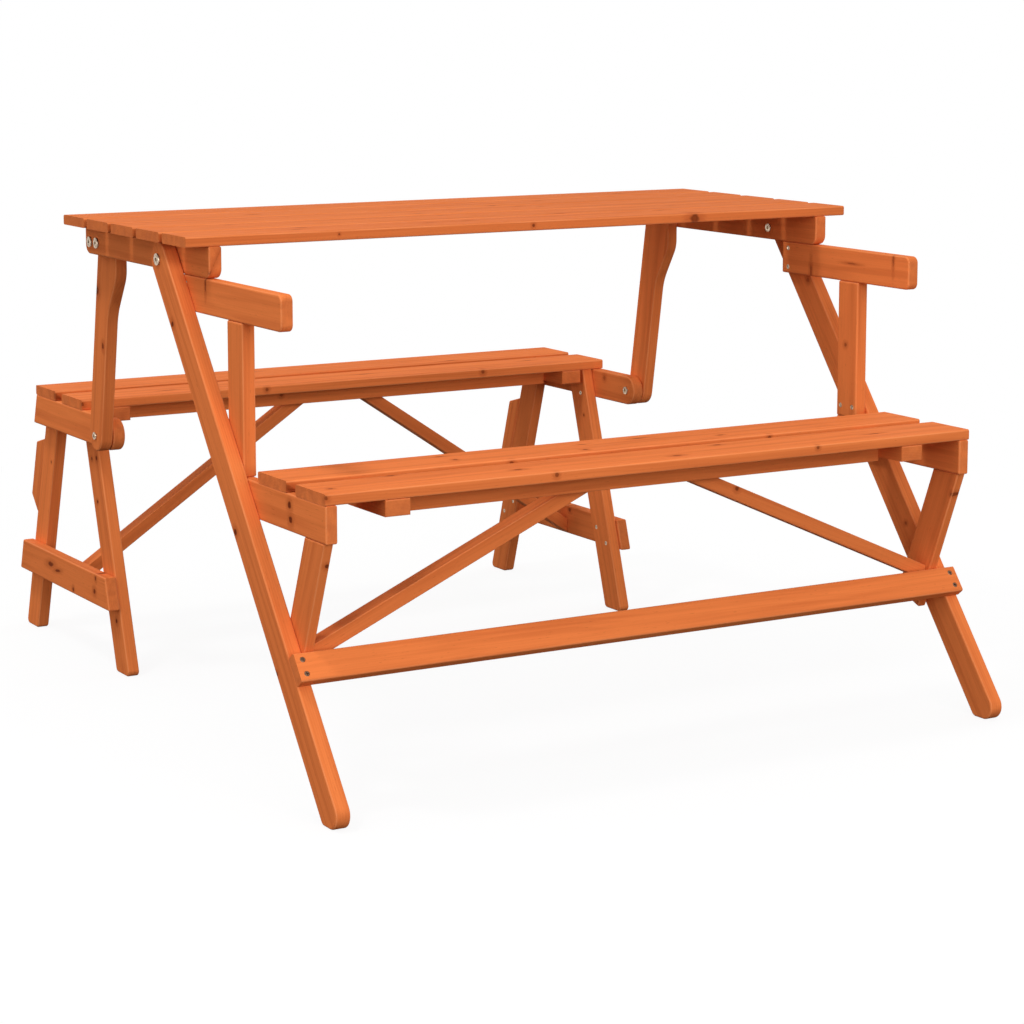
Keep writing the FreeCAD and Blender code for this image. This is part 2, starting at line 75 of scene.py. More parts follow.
MOST_KNOTS = 10
NOWHERE = Vector((99, 99, 99))
"""Where the knots lie that a board doesn't have."""
NOISE_STEP = 1.37
"""How far apart the noise of one board and of the next is taken."""
NUMBERS_PER_PAIR = 3
"""How far on the number of each pair of boards is, which leaves room for both sides."""
PITH_SIDEWAYS: Span = (-25, 25)
PITH_DEPTH: Span = (35, 80)
"""Where the trunk's middle may lie beside and above or below a board, in millimetres."""
TONE_SPREAD: Span = (0.97, 1.03)
"""How much boards of one tone differ all the same."""
SPARE_PLACE: Span = (-0.42, 0.42)
"""Where a spare knot may lie along a board, as a share of its length from the middle."""
SPARE_SIDEWAYS: Span = (-14, 14)
SPARE_RADIUS: Span = (1.3, 2.6)
"""Where it may lie across the board and how thick its branch may be, in millimetres."""
SPARE_SLANT: Span = (-0.4, 0.4)
"""How far its branch may slant along the board, as a share of its way through it."""

SOCKET_SIDES = 6
CROSS_SLOT = 0.32
"""Half the width of a cross's slot, as a share of the length of its arm."""
CROSS_FLOOR = 0.7
SOCKET_FLOOR = 0.92
"""How wide a recess is at its floor, as a share of its mouth."""
NEXT_TURN = 0.9
"""How far each fastener is turned on its axis against the one before, in radians."""
SLANTED = 0.5
"""A fastener whose axis has less of X than this isn't driven along the table."""

SMOOTH = {"interpolation_type": "SMOOTHSTEP"}
NOISE_ALL = {"From Min": 0.2, "From Max": 0.8}
NOISE_MOST = {"From Min": 0.25, "From Max": 0.75}
NOISE_MIDDLE = {"From Min": 0.3, "From Max": 0.7}
NOISE_CORE = {"From Min": 0.35, "From Max": 0.6}
"""Values of noise: nearly all, most, the middle ones and the core. The narrower the range
that a Map Range node takes, the harder the pattern that it makes."""
FALLING = {"To Min": 1.0, "To Max": 0.0}
FACTOR, UNDER, OVER, MIXED = 0, 6, 7, 2
"""Numbers of a colour Mix node's inputs and, the last one, of its output."""
WHITE = "#FFFFFF"

ALONG_TABLE = Vector((1, 0, 0))
FRONT_TO_REAR = Vector((0, 1, 0))
UPRIGHT = Vector((0, 0, 1))

log = logging.getLogger("picnic_bench")


class Body(Enum):
    """The three bodies that move as one piece each."""

    FRONT_BENCH = "front_bench"
    TABLE = "table"
    REAR_BENCH = "rear_bench"


class Side(Enum):
    """The two ends of the table, with the sign of X there."""

    LEFT = -1
    RIGHT = 1

    @property
    def word(self) -> str:
        """The side's name as it stands in the names of pieces."""
        return self.name.lower()


class Recess(Enum):
    """What a tool grips in the head of a fastener."""

    CROSS = "cross"
    HEX_SOCKET = "hex socket"


def leaning(degrees: float) -> Vector:
    """Direction up a board that leans towards +Y by that many degrees."""
    return Vector((0, math.sin(math.radians(degrees)), math.cos(math.radians(degrees))))


def linear(code: str) -> tuple[float, float, float, float]:
    """Turn an sRGB hex colour to the linear colour that shaders take.

    Args:
        code: The colour as "#RRGGBB".

    Returns:
        Red, green, blue and an alpha of 1.
    """
    parts = [int(code[i:i + 2], 16) / 255 for i in (1, 3, 5)]
    values = [c / 12.92 if c <= 0.04045 else ((c + 0.055) / 1.055) ** 2.4 for c in parts]
    return (*values, 1.0)


def add_node(tree: Tree, kind: str, inputs: dict | None = None, **settings: str) -> Node:
    """Add one shader node.

    Args:
        tree: The node tree that gets the node.
        kind: The node's type, such as "ShaderNodeMath".
        inputs: Values, sockets and nodes by input name or number. A socket is linked,
            and so is the first output of a node.
        settings: Properties of the node itself, such as operation.

    Returns:
        The new node.
    """
    node = tree.nodes.new(kind)
    for name, value in settings.items():
        setattr(node, name, value)
    for name, value in (inputs or {}).items():
        if isinstance(value, Node):
            tree.links.new(value.outputs[0], node.inputs[name])
        elif isinstance(value, Socket):
            tree.links.new(value, node.inputs[name])
        else:
            node.inputs[name].default_value = value
    return node


def empty_material(name: str) -> Material:
    """Make a material with an empty node tree.

    Args:
        name: The material's name.

    Returns:
        The material.
    """
    made = bpy.data.materials.new(name)
    made.use_nodes = True
    made.node_tree.nodes.clear()
    return made


def merged_copy(node: str) -> Skin:
    """Copy a CAD node's loose triangles as one merged skin.

    Args:
        node: The CAD node's name.

    Returns:
        The skin, with its faces pointing the way that they did.
    """
    skin = bmesh.new()
    skin.from_mesh(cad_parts[node].data)
    bmesh.ops.remove_doubles(skin, verts=skin.verts, dist=MERGE_DISTANCE)
    return skin


def shaded_mesh(skin: Skin, name: str, sharp_angle: float) -> bpy.types.Mesh:
    """Turn a skin into a mesh that is smooth apart from its sharp edges.

    Args:
        skin: The skin, which is used up.
        name: The mesh's name.
        sharp_angle: An edge at which two faces turn by more than this stays sharp.

    Returns:
        The mesh.
    """
    for face in skin.faces:
        face.smooth = True
    for edge in skin.edges:
        edge.smooth = not (edge.is_manifold and edge.calc_face_angle() > sharp_angle)
    mesh = bpy.data.meshes.new(name)
    skin.to_mesh(mesh)
    skin.free()
    return mesh


def place_in_scene(name: str, content: bpy.types.ID) -> bpy.types.Object:
    """Make an object in the scene.

    Args:
        name: The object's name.
        content: Its mesh, light or camera.

    Returns:
        The object, at the origin.
    """
    made = bpy.data.objects.new(name, content)
    bpy.context.scene.collection.objects.link(made)
    return made


@dataclass(frozen=True)
class StainedPine:
    """Planed pine with a translucent orange-brown stain and a matt oil on top.

    To the eye it is warm orange, a little lighter where the spring wood is, with soft
    darker lines of summer wood along the board, short flecks, brown knots with a dark rim,
    end grain that has drunk more stain, and eased edges with a painted highlight that
    makes them a little lighter.
    """

    spring_wood: str = "#E98044"
    summer_wood: str = "#D16B37"
    streak: str = "#CA6634"
    fleck: str = "#9C4C26"
    knot_heart: str = "#7A3418"
    knot_rim: str = "#54200E"
    knot_halo: str = "#B4552A"
    end_grain: str = "#C2683B"
    edge_highlight: str = "#F19762"
    # Painted highlight: the lighter colour that the eased edges are painted towards.

    ring_spacing: float = 4.2 * MM
    summer_start: Span = (0.1, 0.75)
    summer_end: Span = (0.78, 1.0)
    """Where in one year's ring the summer wood begins and ends."""
    summer_strength: Span = (0.08, 0.42)
    """How strongly the summer wood shows outside and inside a streak."""
    taper: float = 0.012
    """How much the trunk's rings widen along the board, as a share of the length."""
    wander: float = 8 * MM
    wander_length: float = 480 * MM
    wander_width: float = 60 * MM

    fibre_width: float = 1.8 * MM
    """Real fibres are 0.03 mm wide; bundles this wide are the finest that a render shows."""
    fibre_length: float = 110 * MM
    fleck_width: float = 1.4 * MM
    fleck_length: float = 12 * MM
    streak_width: float = 13 * MM
    streak_length: float = 420 * MM
    blotch_width: float = 16 * MM
    blotch_length: float = 60 * MM

    knot_grit_width: float = 5 * MM
    knot_grit_length: float = 9 * MM
    knot_unevenness: float = 0.25
    knot_edge: Span = (0.5, 1.35)
    halo_edge: Span = (0.9, 3.8)
    rim_start: Span = (0.2, 0.9)
    """Distances from the branch's axis in radii: the knot's edge and that of the bent wood
    round it, from full to nothing, and where the rim begins."""
    rim_strength: Span = (0.2, 0.75)
    halo_strength: float = 0.55

    end_facing: Span = (0.6, 0.95)
    edge_start: Span = (0.08, 0.45)
    edge_end: Span = (0.75, 0.98)
    """How far a face is turned: towards the grain for an end, and away from and towards the
    board's wide face for an eased edge."""
    soak: Span = (0.15, 0.5)
    edge_highlight_strength: Span = (0.15, 0.5)
    # How strongly end grain is soaked and how strongly the eased edges get their painted highlight,
    # from least to most.
    """How strongly end grain is soaked and edges are rubbed, from least to most."""

    ring_relief: float = 0.05 * MM
    fibre_relief: float = 0.04 * MM
    knot_sink: float = 0.15 * MM
    relief_strength: float = 0.7
    roughness: Span = (0.6, 0.78)
    ior: float = 1.45
    gloss: float = 0.02

    def material(self) -> Material:
        """Build the material that every board shares.

        Returns:
            The material. It reads the attributes that Board.mark leaves on a mesh.
        """
        made = empty_material("pine_stained_and_oiled")
        tree = made.node_tree
        add = partial(add_node, tree)
        grain = add("ShaderNodeAttribute", attribute_name="grain").outputs["Vector"]
        trunk = add("ShaderNodeAttribute", attribute_name="trunk").outputs["Vector"]
        number = add("ShaderNodeAttribute", attribute_name="number").outputs["Vector"]
        own = add("ShaderNodeVectorMath", {0: grain, 1: number}, operation="ADD").outputs[0]
        knot, halo, rim = self.knots(tree, grain, own)
        summer = self.rings(tree, grain, trunk, own, halo)
        fibre = self.stretched(tree, own, self.fibre_length, self.fibre_width, detail=3.0)
        clear = self.clear_wood(tree, own, summer, fibre)
        faint = add("ShaderNodeMath", {0: halo, 1: self.halo_strength}, operation="MULTIPLY")
        layers = {FACTOR: faint, UNDER: clear, OVER: linear(self.knot_halo)}
        colour = add("ShaderNodeMix", layers, data_type="RGBA").outputs[MIXED]
        strength = add("ShaderNodeAttribute", attribute_name="knot_strength").outputs["Fac"]
        for mask, code in ((knot, self.knot_heart), (rim, self.knot_rim)):
            shown = add("ShaderNodeMath", {0: mask, 1: strength}, operation="MULTIPLY")
            layers = {FACTOR: shown, UNDER: colour, OVER: linear(code)}
            colour = add("ShaderNodeMix", layers, data_type="RGBA").outputs[MIXED]
        colour = self.ends_and_edges(tree, own, colour, fibre)
        self.oil(tree, colour, summer, fibre, knot)
        return made

    def stretched(
        self, tree: Tree, place: Socket, length: float, width: float, detail: float
    ) -> Node:
        """Noise drawn out along the grain.

        Args:
            tree: The material's node tree.
            place: Coordinates along, across and through the board.
            length: How long the noise's features are, in metres.
            width: How wide they are, in metres.
            detail: How many finer layers the noise has.

        Returns:
            The noise node.
        """
        scale = (1 / length, 1 / width, 1 / width)
        placed = add_node(tree, "ShaderNodeMapping", {"Vector": place, "Scale": scale})
        noise = {"Vector": placed, "Scale": 1.0, "Detail": detail}
        return add_node(tree, "ShaderNodeTexNoise", noise)

    def knots(self, tree: Tree, grain: Socket, own: Socket) -> tuple[Node, Node, Node]:
        """What the branches leave in the board, by the distance to the nearest of them.

        Args:
            tree: The material's node tree.
            grain: Coordinates along, across and through the board.
            own: The same, moved so that no two boards have the same noise.

        Returns:
            Masks of the knot itself, of the wood that it bends, and of its dark rim.
        """
        add = partial(add_node, tree)
        # These masks also draw the few dark marks of painted shade at the left ends of the seat slats.
        nearest = None
        for i in range(MOST_KNOTS):
            place = add("ShaderNodeAttribute", attribute_name=f"knot_{i}").outputs["Vector"]
            branch = add("ShaderNodeAttribute", attribute_name=f"branch_{i}").outputs["Vector"]
            away = add("ShaderNodeVectorMath", {0: grain, 1: place}, operation="SUBTRACT")
            across = add("ShaderNodeVectorMath", {0: away, 1: branch}, operation="CROSS_PRODUCT")
            reach = add("ShaderNodeVectorMath", {0: across}, operation="LENGTH").outputs["Value"]
            if nearest is not None:
                both = {0: nearest, 1: reach}
                reach = add("ShaderNodeMath", both, operation="MINIMUM").outputs[0]
            nearest = reach
        grit = self.stretched(tree, own, self.knot_grit_length, self.knot_grit_width, detail=2.0)
        most = self.knot_unevenness
        span = {"Value": grit, **NOISE_MOST, "To Min": -most, "To Max": most}
        shift = add("ShaderNodeMapRange", span)
        ragged = add("ShaderNodeMath", {0: nearest, 1: shift}, operation="ADD")
        masks = []
        for full, gone in (self.knot_edge, self.halo_edge):
            span = {"Value": ragged, "From Min": full, "From Max": gone, **FALLING}
            masks.append(add("ShaderNodeMapRange", span, **SMOOTH))
        knot, halo = masks
        start, full = self.rim_start
        least, most = self.rim_strength
        span = {"Value": ragged, "From Min": start, "From Max": full, "To Min": least, "To Max": most}
        outside = add("ShaderNodeMapRange", span, **SMOOTH)
        rim = add("ShaderNodeMath", {0: outside, 1: knot}, operation="MULTIPLY")
        return knot, halo, rim

    def rings(self, tree: Tree, grain: Socket, trunk: Socket, own: Socket, halo: Node) -> Node:
        """Growth rings round the trunk's pith, pushed aside by the knots.

        Args:
            tree: The material's node tree.
            grain: Coordinates along, across and through the board.
            trunk: Where the trunk's pith lies across and through the board.
            own: The coordinates, moved so that no two boards have the same noise.
            halo: Mask of the wood that a knot bends.

        Returns:
            A mask that is 1 in the summer wood.
        """
        add = partial(add_node, tree)
        wavy = self.stretched(tree, own, self.wander_length, self.wander_width, detail=2.0)
        span = {"Value": wavy, **NOISE_ALL, "To Min": -self.wander, "To Max": self.wander}
        bend = add("ShaderNodeMapRange", span)
        from_pith = add("ShaderNodeVectorMath", {0: grain, 1: trunk}, operation="SUBTRACT")
        apart = add("ShaderNodeSeparateXYZ", {0: from_pith})
        flat = add("ShaderNodeCombineXYZ", {"Y": apart.outputs["Y"], "Z": apart.outputs["Z"]})
        radius = add("ShaderNodeVectorMath", {0: flat}, operation="LENGTH").outputs["Value"]
        bent = add("ShaderNodeMath", {0: radius, 1: bend}, operation="ADD")
        cone = {0: apart.outputs["X"], 1: self.taper, 2: bent}
        widened = add("ShaderNodeMath", cone, operation="MULTIPLY_ADD")
        push = {0: halo, 1: self.ring_spacing, 2: widened}
        pushed = add("ShaderNodeMath", push, operation="MULTIPLY_ADD")
        count = add("ShaderNodeMath", {0: pushed, 1: self.ring_spacing}, operation="DIVIDE")
        year = add("ShaderNodeMath", {0: count}, operation="FRACT")
        start, full = self.summer_start
        span = {"Value": year, "From Min": start, "From Max": full}
        rising = add("ShaderNodeMapRange", span, **SMOOTH)
        full, gone = self.summer_end
        span = {"Value": year, "From Min": full, "From Max": gone, **FALLING}
        falling = add("ShaderNodeMapRange", span, **SMOOTH)
        return add("ShaderNodeMath", {0: rising, 1: falling}, operation="MULTIPLY")

    def clear_wood(self, tree: Tree, own: Socket, summer: Node, fibre: Node) -> Socket:
        """The wood's colour away from its knots.

        Args:
            tree: The material's node tree.
            own: The coordinates, moved so that no two boards have the same noise.
            summer: Mask of the summer wood.
            fibre: Noise as fine as a bundle of fibres.

        Returns:
            The colour.
        """
        add = partial(add_node, tree)
        streak = self.stretched(tree, own, self.streak_length, self.streak_width, detail=2.0)
        least, most = self.summer_strength
        span = {"Value": streak, **NOISE_MIDDLE, "To Min": least, "To Max": most}
        strength = add("ShaderNodeMapRange", span, **SMOOTH)
        lines = add("ShaderNodeMath", {0: summer, 1: strength}, operation="MULTIPLY")
        layers = {FACTOR: lines, UNDER: linear(self.spring_wood), OVER: linear(self.summer_wood)}
        colour = add("ShaderNodeMix", layers, data_type="RGBA").outputs[MIXED]
        speck = self.stretched(tree, own, self.fleck_length, self.fleck_width, detail=1.0)
        # Each mark starts at one value of its noise and has its full strength at the next.
        marks = (
            (streak, 0.42, 0.70, 0.45, self.streak),
            (fibre, 0.35, 0.70, 0.25, self.summer_wood),
            (speck, 0.68, 0.78, 0.35, self.fleck),
        )
        for noise, start, full, strength, code in marks:
            span = {"Value": noise, "From Min": start, "From Max": full, "To Max": strength}
            mask = add("ShaderNodeMapRange", span, **SMOOTH)
            layers = {FACTOR: mask, UNDER: colour, OVER: linear(code)}
            colour = add("ShaderNodeMix", layers, data_type="RGBA").outputs[MIXED]
        # The board's tone carries painted light as well: darker on boards in much light, lighter on
        # boards in shade.
        tone = add("ShaderNodeAttribute", attribute_name="tone").outputs["Fac"]
        return add("ShaderNodeHueSaturation", {"Value": tone, "Color": colour}).outputs[0]

    def ends_and_edges(self, tree: Tree, own: Socket, colour: Socket, fibre: Node) -> Socket:
        """End grain darker with stain, and a painted highlight that makes the eased edges lighter.

        Args:
            tree: The material's node tree.
            own: The coordinates, moved so that no two boards have the same noise.
            colour: The board's colour so far.
            fibre: Noise as fine as a bundle of fibres.

        Returns:
            The colour with both.
        """
        add = partial(add_node, tree)
        blotch = self.stretched(tree, own, self.blotch_length, self.blotch_width, detail=1.0)
        facing = add("ShaderNodeTexCoord").outputs["Normal"]
        turned = []
        for name in ("along", "through"):
            axis = add("ShaderNodeAttribute", attribute_name=name).outputs["Vector"]
            both = {0: facing, 1: axis}
            dot = add("ShaderNodeVectorMath", both, operation="DOT_PRODUCT").outputs["Value"]
            turned.append(add("ShaderNodeMath", {0: dot}, operation="ABSOLUTE"))
        to_end, to_wide_face = turned

        start, full = self.end_facing
        span = {"Value": to_end, "From Min": start, "From Max": full}
        end = add("ShaderNodeMapRange", span, **SMOOTH)
        least, most = self.soak
        span = {"Value": blotch, **NOISE_MIDDLE, "To Min": least, "To Max": most}
        soaked = add("ShaderNodeMapRange", span, **SMOOTH)
        drunk = add("ShaderNodeMath", {0: end, 1: soaked}, operation="MULTIPLY")
        layers = {FACTOR: drunk, UNDER: colour, OVER: linear(self.end_grain)}
        colour = add("ShaderNodeMix", layers, data_type="RGBA").outputs[MIXED]

        # Painted highlight on the eased edges: faces that turn between the wide face and the side are
        # painted lighter, patchy along the fibres.
        start, full = self.edge_start
        span = {"Value": to_wide_face, "From Min": start, "From Max": full}
        rising = add("ShaderNodeMapRange", span, **SMOOTH)
        full, gone = self.edge_end
        span = {"Value": to_wide_face, "From Min": full, "From Max": gone, **FALLING}
        falling = add("ShaderNodeMapRange", span, **SMOOTH)
        edge = add("ShaderNodeMath", {0: rising, 1: falling}, operation="MULTIPLY")
        least, most = self.edge_highlight_strength
        span = {"Value": fibre, **NOISE_CORE, "To Min": least, "To Max": most}
        patchy = add("ShaderNodeMapRange", span, **SMOOTH)
        painted_highlight = add("ShaderNodeMath", {0: edge, 1: patchy}, operation="MULTIPLY")
        layers = {FACTOR: painted_highlight, UNDER: colour, OVER: linear(self.edge_highlight)}
        return add("ShaderNodeMix", layers, data_type="RGBA").outputs[MIXED]

    def oil(self, tree: Tree, colour: Socket, summer: Node, fibre: Node, knot: Node) -> None:
        """Wire up the shader: matt oil, a little rougher along the fibres, with slight relief.

        Args:
            tree: The material's node tree.
            colour: The board's colour.
            summer: Mask of the summer wood, which stands a little proud.
            fibre: Noise as fine as a bundle of fibres.
            knot: Mask of the knots, which are sunk a little.
        """
        add = partial(add_node, tree)
        least, most = self.roughness
        span = {"Value": fibre, **NOISE_ALL, "To Min": least, "To Max": most}
        rough = add("ShaderNodeMapRange", span, **SMOOTH)
        height = add("ShaderNodeMath", {0: fibre, 1: self.fibre_relief}, operation="MULTIPLY")
        for mask, rise in ((summer, self.ring_relief), (knot, -self.knot_sink)):
            raised = {0: mask, 1: rise, 2: height}
            height = add("ShaderNodeMath", raised, operation="MULTIPLY_ADD")
        relief = {"Height": height, "Strength": self.relief_strength, "Distance": 1.0}
        finish = {
            "Base Color": colour,
            "Roughness": rough,
            "Normal": add("ShaderNodeBump", relief),
            "IOR": self.ior,
            "Specular IOR Level": self.gloss,
        }
        shader = add("ShaderNodeBsdfPrincipled", finish)
        add("ShaderNodeOutputMaterial", {"Surface": shader})


@dataclass(frozen=True)
class ZincPlatedSteel:
    """Steel fasteners with a zinc coat, straight from the plating barrel.

    To the eye it is a warm silver-grey, clouded where the coat is thicker. The heads of
    the stretcher's screws are made a dark grey-brown.
    """

    bright: str = "#D3BEA4"
    cloudy: str = "#8F7A65"
    darkened_colour: str = "#75503C"
    cloud_size: float = 3 * MM
    cloud_edge: Span = (0.4, 0.62)
    grit_size: float = 0.6 * MM
    """The coat's grit, which shows only from close by."""
    grit_height: float = 0.05 * MM
    grit_strength: float = 0.15
    darkening: Span = (0.95, 0.7)
    # How far the stretcher's screws are darkened, between the clouds and in them.
    """How dulled a weathered coat is, between the clouds and in them."""
    roughness: Span = (0.25, 0.42)

    def material(self) -> Material:
        """Build the material that every fastener shares.

        Returns:
            The material, on Object coordinates. It reads an attribute that is 1 on the
            stretcher's screws, which it darkens.
        """
        made = empty_material("steel_zinc_plated")
        add = partial(add_node, made.node_tree)
        place = add("ShaderNodeTexCoord").outputs["Object"]
        noise = {"Vector": place, "Scale": 1 / self.cloud_size, "Detail": 3.0}
        cloud = add("ShaderNodeTexNoise", noise)
        noise = {"Vector": place, "Scale": 1 / self.grit_size, "Detail": 1.0}
        grit = add("ShaderNodeTexNoise", noise)
        start, full = self.cloud_edge
        span = {"Value": cloud, "From Min": start, "From Max": full}
        patch = add("ShaderNodeMapRange", span, **SMOOTH)
        layers = {FACTOR: patch, UNDER: linear(self.bright), OVER: linear(self.cloudy)}
        fresh = add("ShaderNodeMix", layers, data_type="RGBA").outputs[MIXED]
        stretcher_darkening = add("ShaderNodeAttribute", attribute_name="stretcher_darkening").outputs["Fac"]
        clear, thick = self.darkening
        span = {"Value": cloud, **NOISE_CORE, "To Min": clear, "To Max": thick}
        most = add("ShaderNodeMapRange", span, **SMOOTH)
        darkened = add("ShaderNodeMath", {0: stretcher_darkening, 1: most}, operation="MULTIPLY")
        layers = {FACTOR: darkened, UNDER: fresh, OVER: linear(self.darkened_colour)}
        colour = add("ShaderNodeMix", layers, data_type="RGBA").outputs[MIXED]
        least, most = self.roughness
        span = {"Value": cloud, **NOISE_MIDDLE, "To Min": least, "To Max": most}
        rough = add("ShaderNodeMapRange", span)
        relief = {"Height": grit, "Strength": self.grit_strength, "Distance": self.grit_height}
        finish = {
            "Base Color": colour,
            "Roughness": rough,
            "Normal": add("ShaderNodeBump", relief),
            "Metallic": 1.0,
        }
        shader = add("ShaderNodeBsdfPrincipled", finish)
        add("ShaderNodeOutputMaterial", {"Surface": shader})
        return made


@dataclass(frozen=True)
class Knot:
    """Where a branch left the trunk.

    Args:
        place: A point on the branch, in millimetres in the frame.
        branch: The branch's direction in the frame. Nearly in line with a face, it
            shows there as a long fleck.
        radius: The branch's radius in millimetres.
    """

    # A few knots in the looks are painted shade: dark marks at the left ends of the seat slats.
    place: Point
    branch: Point = (0.0, 0.0, 1.0)
    radius: float = 3.0


def spot(x: float, y: float, z: float, radius: float = 3.0) -> Knot:
    """A round knot through a board that stands in an end frame."""
    return Knot((x, y, z), (1.0, 0.05, 0.1), radius)


def dash(x: float, y: float, z: float, radius: float = 1.2) -> Knot:
    """A branch cut nearly lengthwise: a dark dash along the top of a slat."""
    return Knot((x, y, z), (1.0, 0.01, 0.17), radius)


@dataclass(frozen=True)
class Look:
    """What the photograph shows of one board.

    Args:
        knots: Its knots. On the seat slats a few of them are painted shade: dark marks at the
            left ends, in the gap between the slats and at the front corner.
        tone: How light its wood is against that of the other boards: partly its own tone,
            and partly painted light, darker where the board gets much light and lighter where
            it sits in shade.
        knot_strength: How dark its knots are, from 0 to 1.
    """

    knots: tuple[Knot, ...] = ()
    tone: float = 1.0
    knot_strength: float = 0.7


@dataclass
class Board:
    """One wooden board, cut to its CAD shape and given its own grain.

    Args:
        node: The CAD node that it stands for.
        body: The body that it rides on.
        along: The direction of the grain in the frame.
        through: The direction of the thickness in the frame.
        number: The board's own number, which gives it grain of its own.
        look: What the photograph shows of it.
    """

    node: str
    body: Body
    along: Vector
    through: Vector
    number: int
    look: Look

    def build(self, wood: Material) -> bpy.types.Object:
        """Copy the CAD shape as one merged skin and dress it.

        Args:
            wood: The material of the boards.

        Returns:
            The finished piece.
        """
        name = f"{self.node}_board"
        mesh = shaded_mesh(merged_copy(self.node), name, BOARD_SHARP_ANGLE)
        self.mark(mesh)
        mesh.materials.append(wood)
        piece = place_in_scene(name, mesh)
        shading = piece.modifiers.new("flat faces stay flat", "WEIGHTED_NORMAL")
        shading.keep_sharp = True
        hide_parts(self.node)
        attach(piece, self.body.value)
        log.info("board %s with %d knots", piece.name, len(self.look.knots))
        return piece

    def mark(self, mesh: bpy.types.Mesh) -> None:
        """Leave on the mesh what the wood's material reads: grain, trunk, axes and knots.

        Args:
            mesh: The board's mesh.
        """
        chance = random.Random(self.number)
        across = self.through.cross(self.along).normalized()
        axes = Matrix((self.along, across, self.through))
        low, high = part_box(self.node)
        middle = (low + high) / 2
        sideways = chance.uniform(*PITH_SIDEWAYS)
        depth = chance.choice((-1, 1)) * chance.uniform(*PITH_DEPTH)
        same_all_over = {
            "trunk": Vector((0, sideways, depth)) * MM,
            "number": Vector((1, 1, 1)) * self.number * NOISE_STEP,
            "along": self.along,
            "through": self.through,
        }
        knots = list(self.look.knots) + self.spare_knots(chance, low, high)
        for i in range(MOST_KNOTS):
            place, branch = NOWHERE, UPRIGHT
            if i < len(knots):
                place = axes @ (Vector(knots[i].place) * MM - middle)
                branch = axes @ Vector(knots[i].branch).normalized() / (knots[i].radius * MM)
            same_all_over[f"knot_{i}"] = place
            same_all_over[f"branch_{i}"] = branch
        count = len(mesh.vertices)
        self.store(mesh, "grain", [axes @ (vertex.co - middle) for vertex in mesh.vertices])
        for name, vector in same_all_over.items():
            self.store(mesh, name, [vector] * count)
        # The tone from the look is partly painted light; the random spread is the wood's own.
        tone = self.look.tone * chance.uniform(*TONE_SPREAD)
        for name, value in (("tone", tone), ("knot_strength", self.look.knot_strength)):
            attribute = mesh.attributes.new(name, "FLOAT", "POINT")
            attribute.data.foreach_set("value", [value] * count)

    def spare_knots(self, chance: random.Random, low: Vector, high: Vector) -> list[Knot]:
        """Small knots for a board on which the photograph shows none.

        Args:
            chance: The board's own random numbers.
            low: The lowest corner of the board's box.
            high: The highest corner of the board's box.

        Returns:
            One knot or none; always none for a board that has its own.
        """
        if self.look.knots:
            return []
        length = (high - low).dot(Vector([abs(part) for part in self.along]))
        middle = (low + high) / 2
        made = []
        for _ in range(chance.choice((0, 1))):
            place = middle + self.along * length * chance.uniform(*SPARE_PLACE)
            place += self.through.cross(self.along) * chance.uniform(*SPARE_SIDEWAYS) * MM
            branch = self.through + self.along * chance.uniform(*SPARE_SLANT)
            made.append(Knot(tuple(place / MM), tuple(branch), chance.uniform(*SPARE_RADIUS)))
        return made

    def store(self, mesh: bpy.types.Mesh, name: str, vectors: list[Vector]) -> None:
        """Write one vector for each vertex.

        Args:
            mesh: The board's mesh.
            name: The name that the material reads them by.
            vectors: The vectors, in the order of the vertices.
        """
        attribute = mesh.attributes.new(name, "FLOAT_VECTOR", "POINT")
        attribute.data.foreach_set("vector", [part for vector in vectors for part in vector])


@dataclass(frozen=True)
class Ring:
    """One ring of a turned fastener, in millimetres.

    Args:
        radius: Its radius.
        height: Its height above the surface that the head lies on.
    """

    radius: float
    height: float


